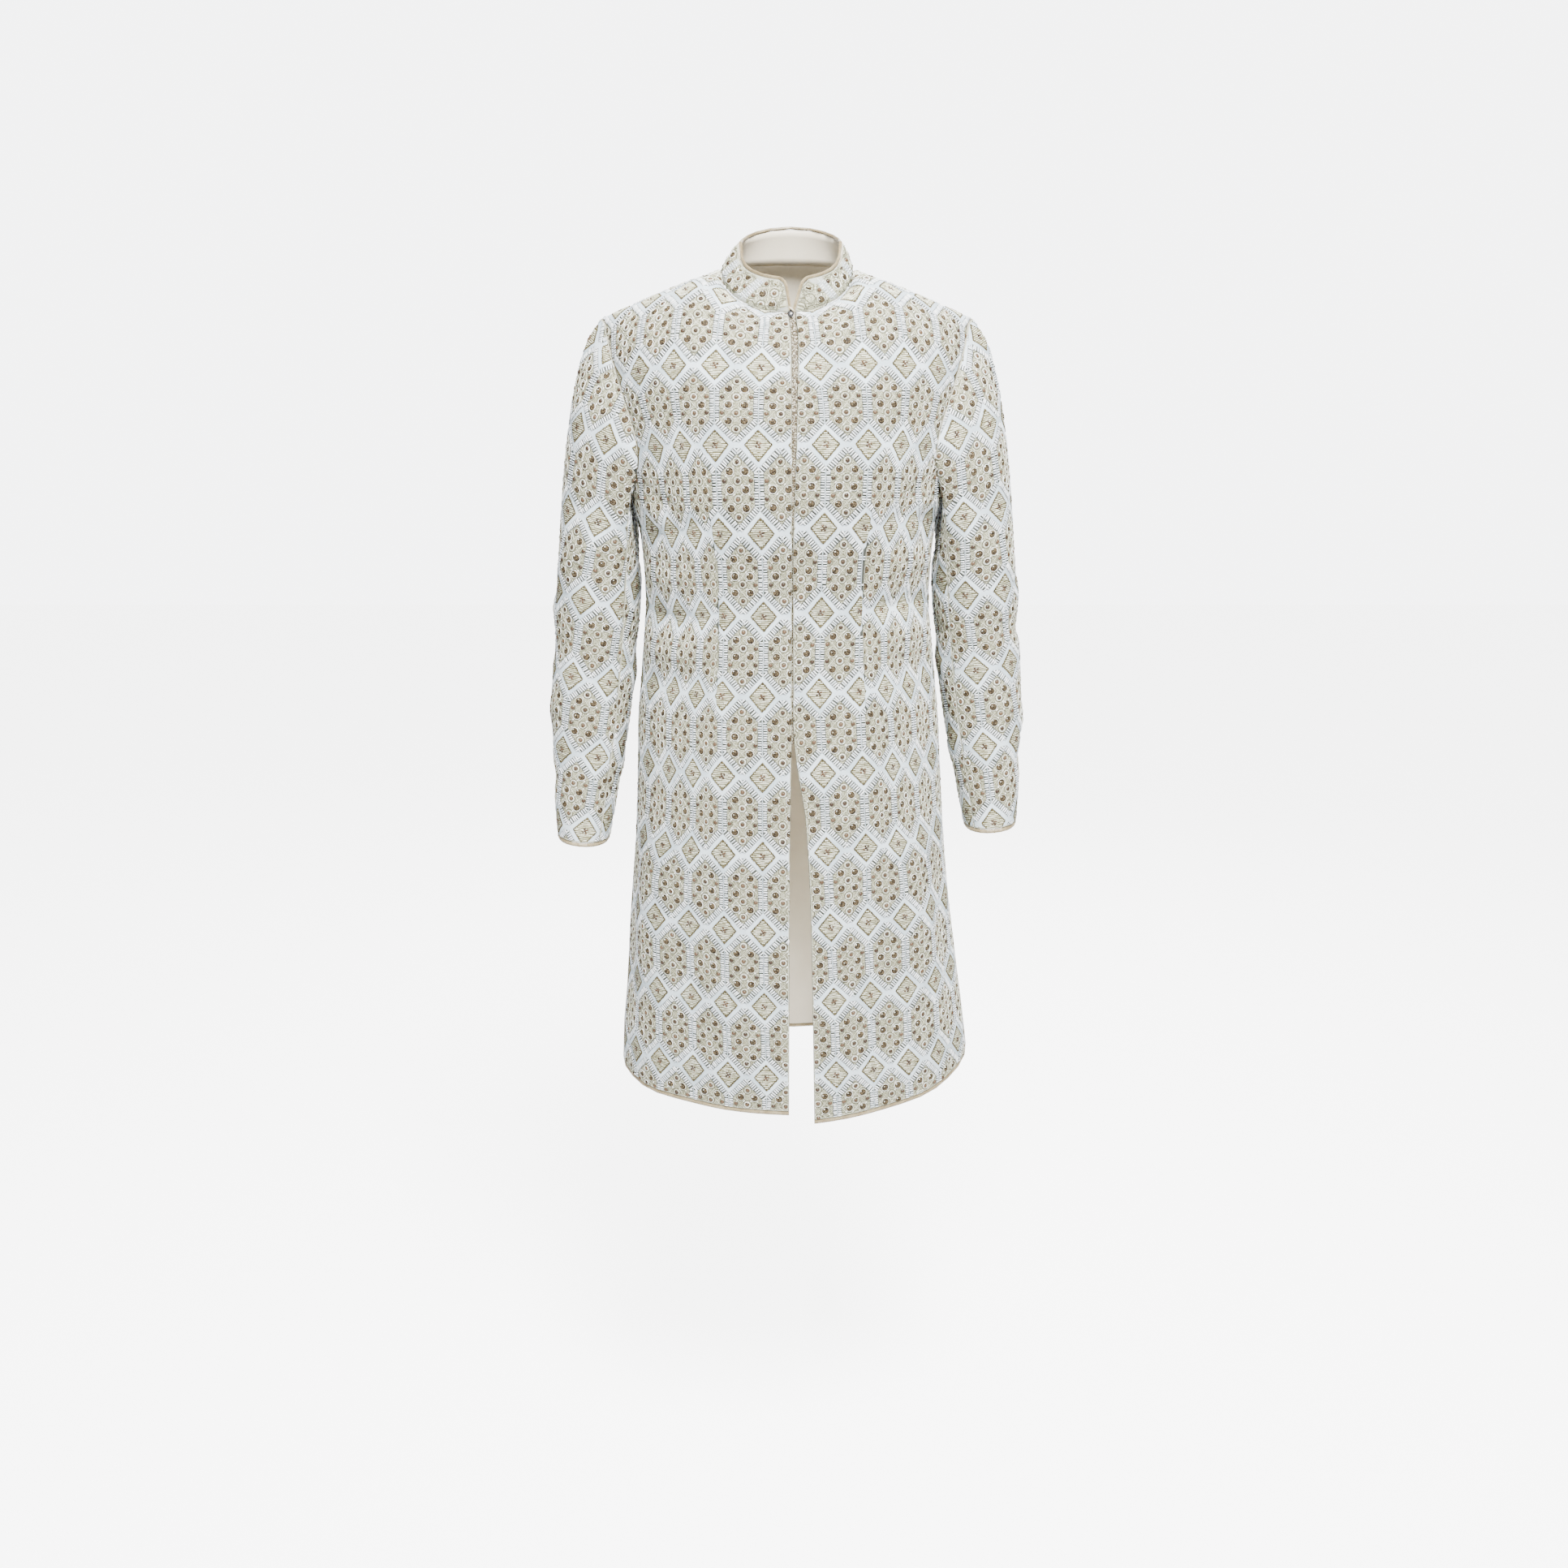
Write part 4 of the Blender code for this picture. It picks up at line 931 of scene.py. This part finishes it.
def addDiamond(parts, middleX, middleY):
    halfX, halfY = jaal["diamondHalf"]
    stitch, rib, cluster = jaal["diamondStitch"], jaal["rib"], jaal["cluster"]
    bead = cluster["radius"], cluster["height"], "bead", 6
    corners = [Vector(c) for c in ((halfX, 0), (0, halfY), (-halfX, 0), (0, -halfY))]
    middle = Vector((middleX, middleY))
    for n in range(4):
        start, end = corners[n], corners[(n + 1) % 4]
        turn = math.atan2(end.y - start.y, end.x - start.x)
        count = round((end - start).length / stitch["spacing"])
        for i in range(count):
            spot = middle + start.lerp(end, (i + 0.5) / count)
            addStitch(parts, spot.x, spot.y, turn, stitch["length"], stitch["width"], stitch["height"], "tan")
    rows = int(halfY * 2 / rib["spacing"])
    for n in range(rows):
        y = (n + 0.5 - rows / 2) * rib["spacing"]
        half = halfX * (1 - abs(y) / halfY) - 1.3
        if half > 1:
            ends = (middleX - half, middleY + y), (middleX + half, middleY + y)
            addCord(parts, *ends, rib["width"], rib["height"], rib["step"], "rib")
    addDome(parts, middleX, middleY, *bead)
    for n in range(4):
        turn = n * math.pi / 2 + 0.5
        spot = middle + Vector((math.cos(turn), math.sin(turn))) * cluster["reach"]
        addDome(parts, *spot, *bead)


def readParts(parts):
    # the finished repeat as arrays, for laying it over a panel many times
    bm = parts["bm"]
    bmesh.ops.recalc_face_normals(bm, faces=bm.faces)
    for face in bm.faces:
        if face.normal.z < 0:
            face.normal_flip()
    bmesh.ops.triangulate(bm, faces=bm.faces)
    bm.verts.index_update()
    layer = bm.verts.layers.int["part"]
    verts = np.array([v.co for v in bm.verts])
    part = np.array([v[layer] for v in bm.verts])
    highest = np.zeros(parts["count"])
    np.maximum.at(highest, part, verts[:, 2])
    repeat = {
        "verts": verts, "part": part, "parts": parts["count"], "size": np.bincount(part),
        "faces": np.array([[v.index for v in f.verts] for f in bm.faces]),
        "kind": np.array([f.material_index for f in bm.faces]),
        "rise": np.clip(verts[:, 2] / highest[part], 0, 1),
    }
    bm.free()
    return repeat


repeatParts = newParts()
addHexagon(repeatParts)
addDiamond(repeatParts, jaal["across"] / 2, jaal["up"] / 2)
repeat = readParts(repeatParts)
print("one repeat:", len(repeat["faces"]), "triangles,", repeat["parts"], "parts")


# finding a pattern place on a panel's grid: the farthest step and run past the cloth are in grid steps
search = {"rounds": 14, "farthest": 9, "past": 6, "near": 0.2}
# laying the parts: their slip, their range of height, where they end in from the seam, in grid steps, how much
# of one may run off before it is left out, and the stretch at a dart that none may cross
laid = {"slip": 0.22, "tall": (0.82, 1.15), "inset": 0.75, "mostOff": 0.6, "mostStretch": 2}


def onGrid(grid, wanted):
    # the row and column, with fractions, at which the pattern reaches each wanted place
    rows, cols = grid.shape[:2]
    i = np.interp(wanted[:, 1], grid[:, cols // 2, 1], np.arange(rows))
    j = np.interp(wanted[:, 0], grid[rows // 2, :, 0], np.arange(cols))
    for _ in range(search["rounds"]):
        value, byRow, byCol = sample(grid, i, j, slopes=True)
        miss = wanted - value
        across = byRow[:, 0] * byCol[:, 1] - byRow[:, 1] * byCol[:, 0]
        across = np.where(np.abs(across) < 1e-6, 1e-6, across)
        stepI = (miss[:, 0] * byCol[:, 1] - miss[:, 1] * byCol[:, 0]) / across
        stepJ = (byRow[:, 0] * miss[:, 1] - byRow[:, 1] * miss[:, 0]) / across
        far, past = search["farthest"], search["past"]
        i = np.clip(i + np.clip(stepI, -far, far), -past, rows + past - 1)
        j = np.clip(j + np.clip(stepJ, -far, far), -past, cols + past - 1)
    value = sample(grid, i, j)
    found = np.linalg.norm(wanted - value, axis=1) < search["near"]
    return i, j, found


def sample(grid, i, j, slopes=False):
    rows, cols = grid.shape[:2]
    a = np.clip(np.floor(i).astype(int), 0, rows - 2)
    b = np.clip(np.floor(j).astype(int), 0, cols - 2)
    p, q = (i - a)[:, None], (j - b)[:, None]
    low = grid[a, b] * (1 - q) + grid[a, b + 1] * q
    high = grid[a + 1, b] * (1 - q) + grid[a + 1, b + 1] * q
    value = low * (1 - p) + high * p
    if not slopes:
        return value
    byCol = (grid[a, b + 1] - grid[a, b]) * (1 - p) + (grid[a + 1, b + 1] - grid[a + 1, b]) * p
    return value, high - low, byCol


def workPanel(name, panel, side=0):
    # lay the repeat over a panel, leaving out what would cross its seams
    reach = panel["pattern"].reshape(-1, 2)
    lowest, highest = reach.min(axis=0), reach.max(axis=0)
    sizes = np.array([jaal["across"], jaal["up"]])
    first, last = np.floor(lowest / sizes).astype(int) - 1, np.ceil(highest / sizes).astype(int) + 1
    cells = np.array([(k, m) for k in range(first[0], last[0] + 1) for m in range(first[1], last[1] + 1)])
    if side:
        cells = cells[(cells[:, 0] >= 0) == (side > 0)]
    draws = np.random.default_rng(len(name) * 7 + side)
    count, partCount, vertCount = len(cells), repeat["parts"], len(repeat["verts"])
    total = count * partCount
    part = repeat["part"][None] + np.arange(count)[:, None] * partCount
    shift = draws.normal(0, laid["slip"], (total, 2))
    tall = draws.uniform(*laid["tall"], total)
    tone = draws.uniform(0, 1, total)
    place = repeat["verts"][None, :, :2] + (cells * sizes)[:, None, :] + shift[part]
    height = (repeat["verts"][None, :, 2] * tall[part]).reshape(-1)
    place, part = place.reshape(-1, 2), part.reshape(-1)
    i, j, found = onGrid(panel["pattern"], place)
    rows, cols = panel["pattern"].shape[:2]
    inset = laid["inset"]
    inside = found & (i > inset) & (i < rows - 1 - inset) & (j > inset) & (j < cols - 1 - inset)
    spans = [np.linalg.norm(np.diff(panel[key], axis=1), axis=2) for key in ("pattern", "points")]
    cell = np.clip(i.astype(int), 0, rows - 1), np.clip(j.astype(int), 0, cols - 2)
    inside &= (spans[0] < laid["mostStretch"] * spans[1])[cell]
    share = np.bincount(part, weights=~inside, minlength=total) / np.tile(repeat["size"], count)
    lost = (share > laid["mostOff"]) | (np.bincount(part, weights=~found, minlength=total) > 0)
    i, j = np.clip(i, inset, rows - 1 - inset), np.clip(j, inset, cols - 1 - inset)
    faces = (repeat["faces"][None] + np.arange(count)[:, None, None] * vertCount).reshape(-1, 3)
    kind = np.tile(repeat["kind"], count)
    keep = ~lost[part[faces[:, 0]]]
    faces, kind = faces[keep], kind[keep]
    used, faces = np.unique(faces, return_inverse=True)
    faces = faces.reshape(-1, 3)
    points = sample(panel["points"], i[used], j[used])
    points += unitRows(sample(panel["normals"], i[used], j[used])) * height[used, None]
    mesh = bpy.data.meshes.new(name)
    mesh.from_pydata(points * mm, [], faces)
    mesh.polygons.foreach_set("material_index", kind.astype(np.int32))
    mesh.polygons.foreach_set("use_smooth", np.ones(len(faces), dtype=bool))
    for label, values in (("tone", tone[part[used]]), ("rise", np.tile(repeat["rise"], count)[used])):
        layer = mesh.attributes.new(label, "FLOAT", "POINT")
        layer.data.foreach_set("value", values.astype(np.float32))
    for kindName in kinds:
        mesh.materials.append(finishes[kindName])
    newPiece(mesh)
    print(name, len(faces), "triangles", flush=True)


for name, panel in panels.items():
    if name in plainPanels:
        continue
    if name == "back":
        workPanel("back_work_right", panel, -1)
        workPanel("back_work_left", panel, 1)
    else:
        workPanel(name + "_work", panel)

print("setting the light and the camera")

stage = {"floor": -1.6, "size": 9.0, "ambient": 0.52, "backdrop": 6.0, "glow": 5.1}
bm = bmesh.new()
bmesh.ops.create_grid(bm, x_segments=1, y_segments=1, size=stage["size"])
bmesh.ops.translate(bm, verts=bm.verts, vec=(0, 0, stage["floor"]))
floor = bpy.data.objects.new("floor", meshOf(bm, "floor"))
bpy.context.collection.objects.link(floor)
floorMaterial, floorTree, floorSurface = newMaterial("paleFloor", 0.9)
floorSurface.inputs["Base Color"].default_value = (0.99, 0.99, 0.99, 1)
floorSurface.inputs["Specular IOR Level"].default_value = 0.0
floorSurface.inputs["Emission Color"].default_value = (1, 1, 1, 1)
seen = floorTree.nodes.new("ShaderNodeLightPath").outputs["Is Camera Ray"]
floorTree.links.new(calc(floorTree, "MULTIPLY", seen, stage["glow"]), floorSurface.inputs["Emission Strength"])
floor.data.materials.append(floorMaterial)

world = bpy.data.worlds.new("paleStudio")
bpy.context.scene.world = world
world.use_nodes = True
world.node_tree.nodes["Background"].inputs[0].default_value = (0.98, 0.985, 1.0, 1)
seen = world.node_tree.nodes.new("ShaderNodeLightPath").outputs["Is Camera Ray"]
strength = ramp(world.node_tree, seen, 0.0, 1.0, stage["ambient"], stage["backdrop"])
world.node_tree.links.new(strength, world.node_tree.nodes["Background"].inputs[1])

lamps = {
    "key": {"place": (0.35, -1.9, 1.9), "size": 0.9, "power": 405},
    "fill": {"place": (-1.6, -1.9, 0.3), "size": 1.8, "power": 4},
    "back": {"place": (0.4, 2.3, 0.9), "size": 1.8, "power": 100},
}
for name, lamp in lamps.items():
    light = bpy.data.lights.new(name, "AREA")
    light.size, light.energy = lamp["size"], lamp["power"]
    holder = bpy.data.objects.new(name, light)
    holder.location = lamp["place"]
    holder.rotation_euler = (Vector((0, 0, -0.45)) - holder.location).to_track_quat("-Z", "Y").to_euler()
    bpy.context.collection.objects.link(holder)

camera = bpy.data.objects.new("camera", bpy.data.cameras.new("camera"))
camera.data.lens, camera.data.sensor_width = 33.54, 36
camera.location = (-0.006, -1.708, -0.115)
camera.rotation_euler = (math.radians(90 - 14.9), 0, 0)
bpy.context.collection.objects.link(camera)
bpy.context.scene.camera = camera
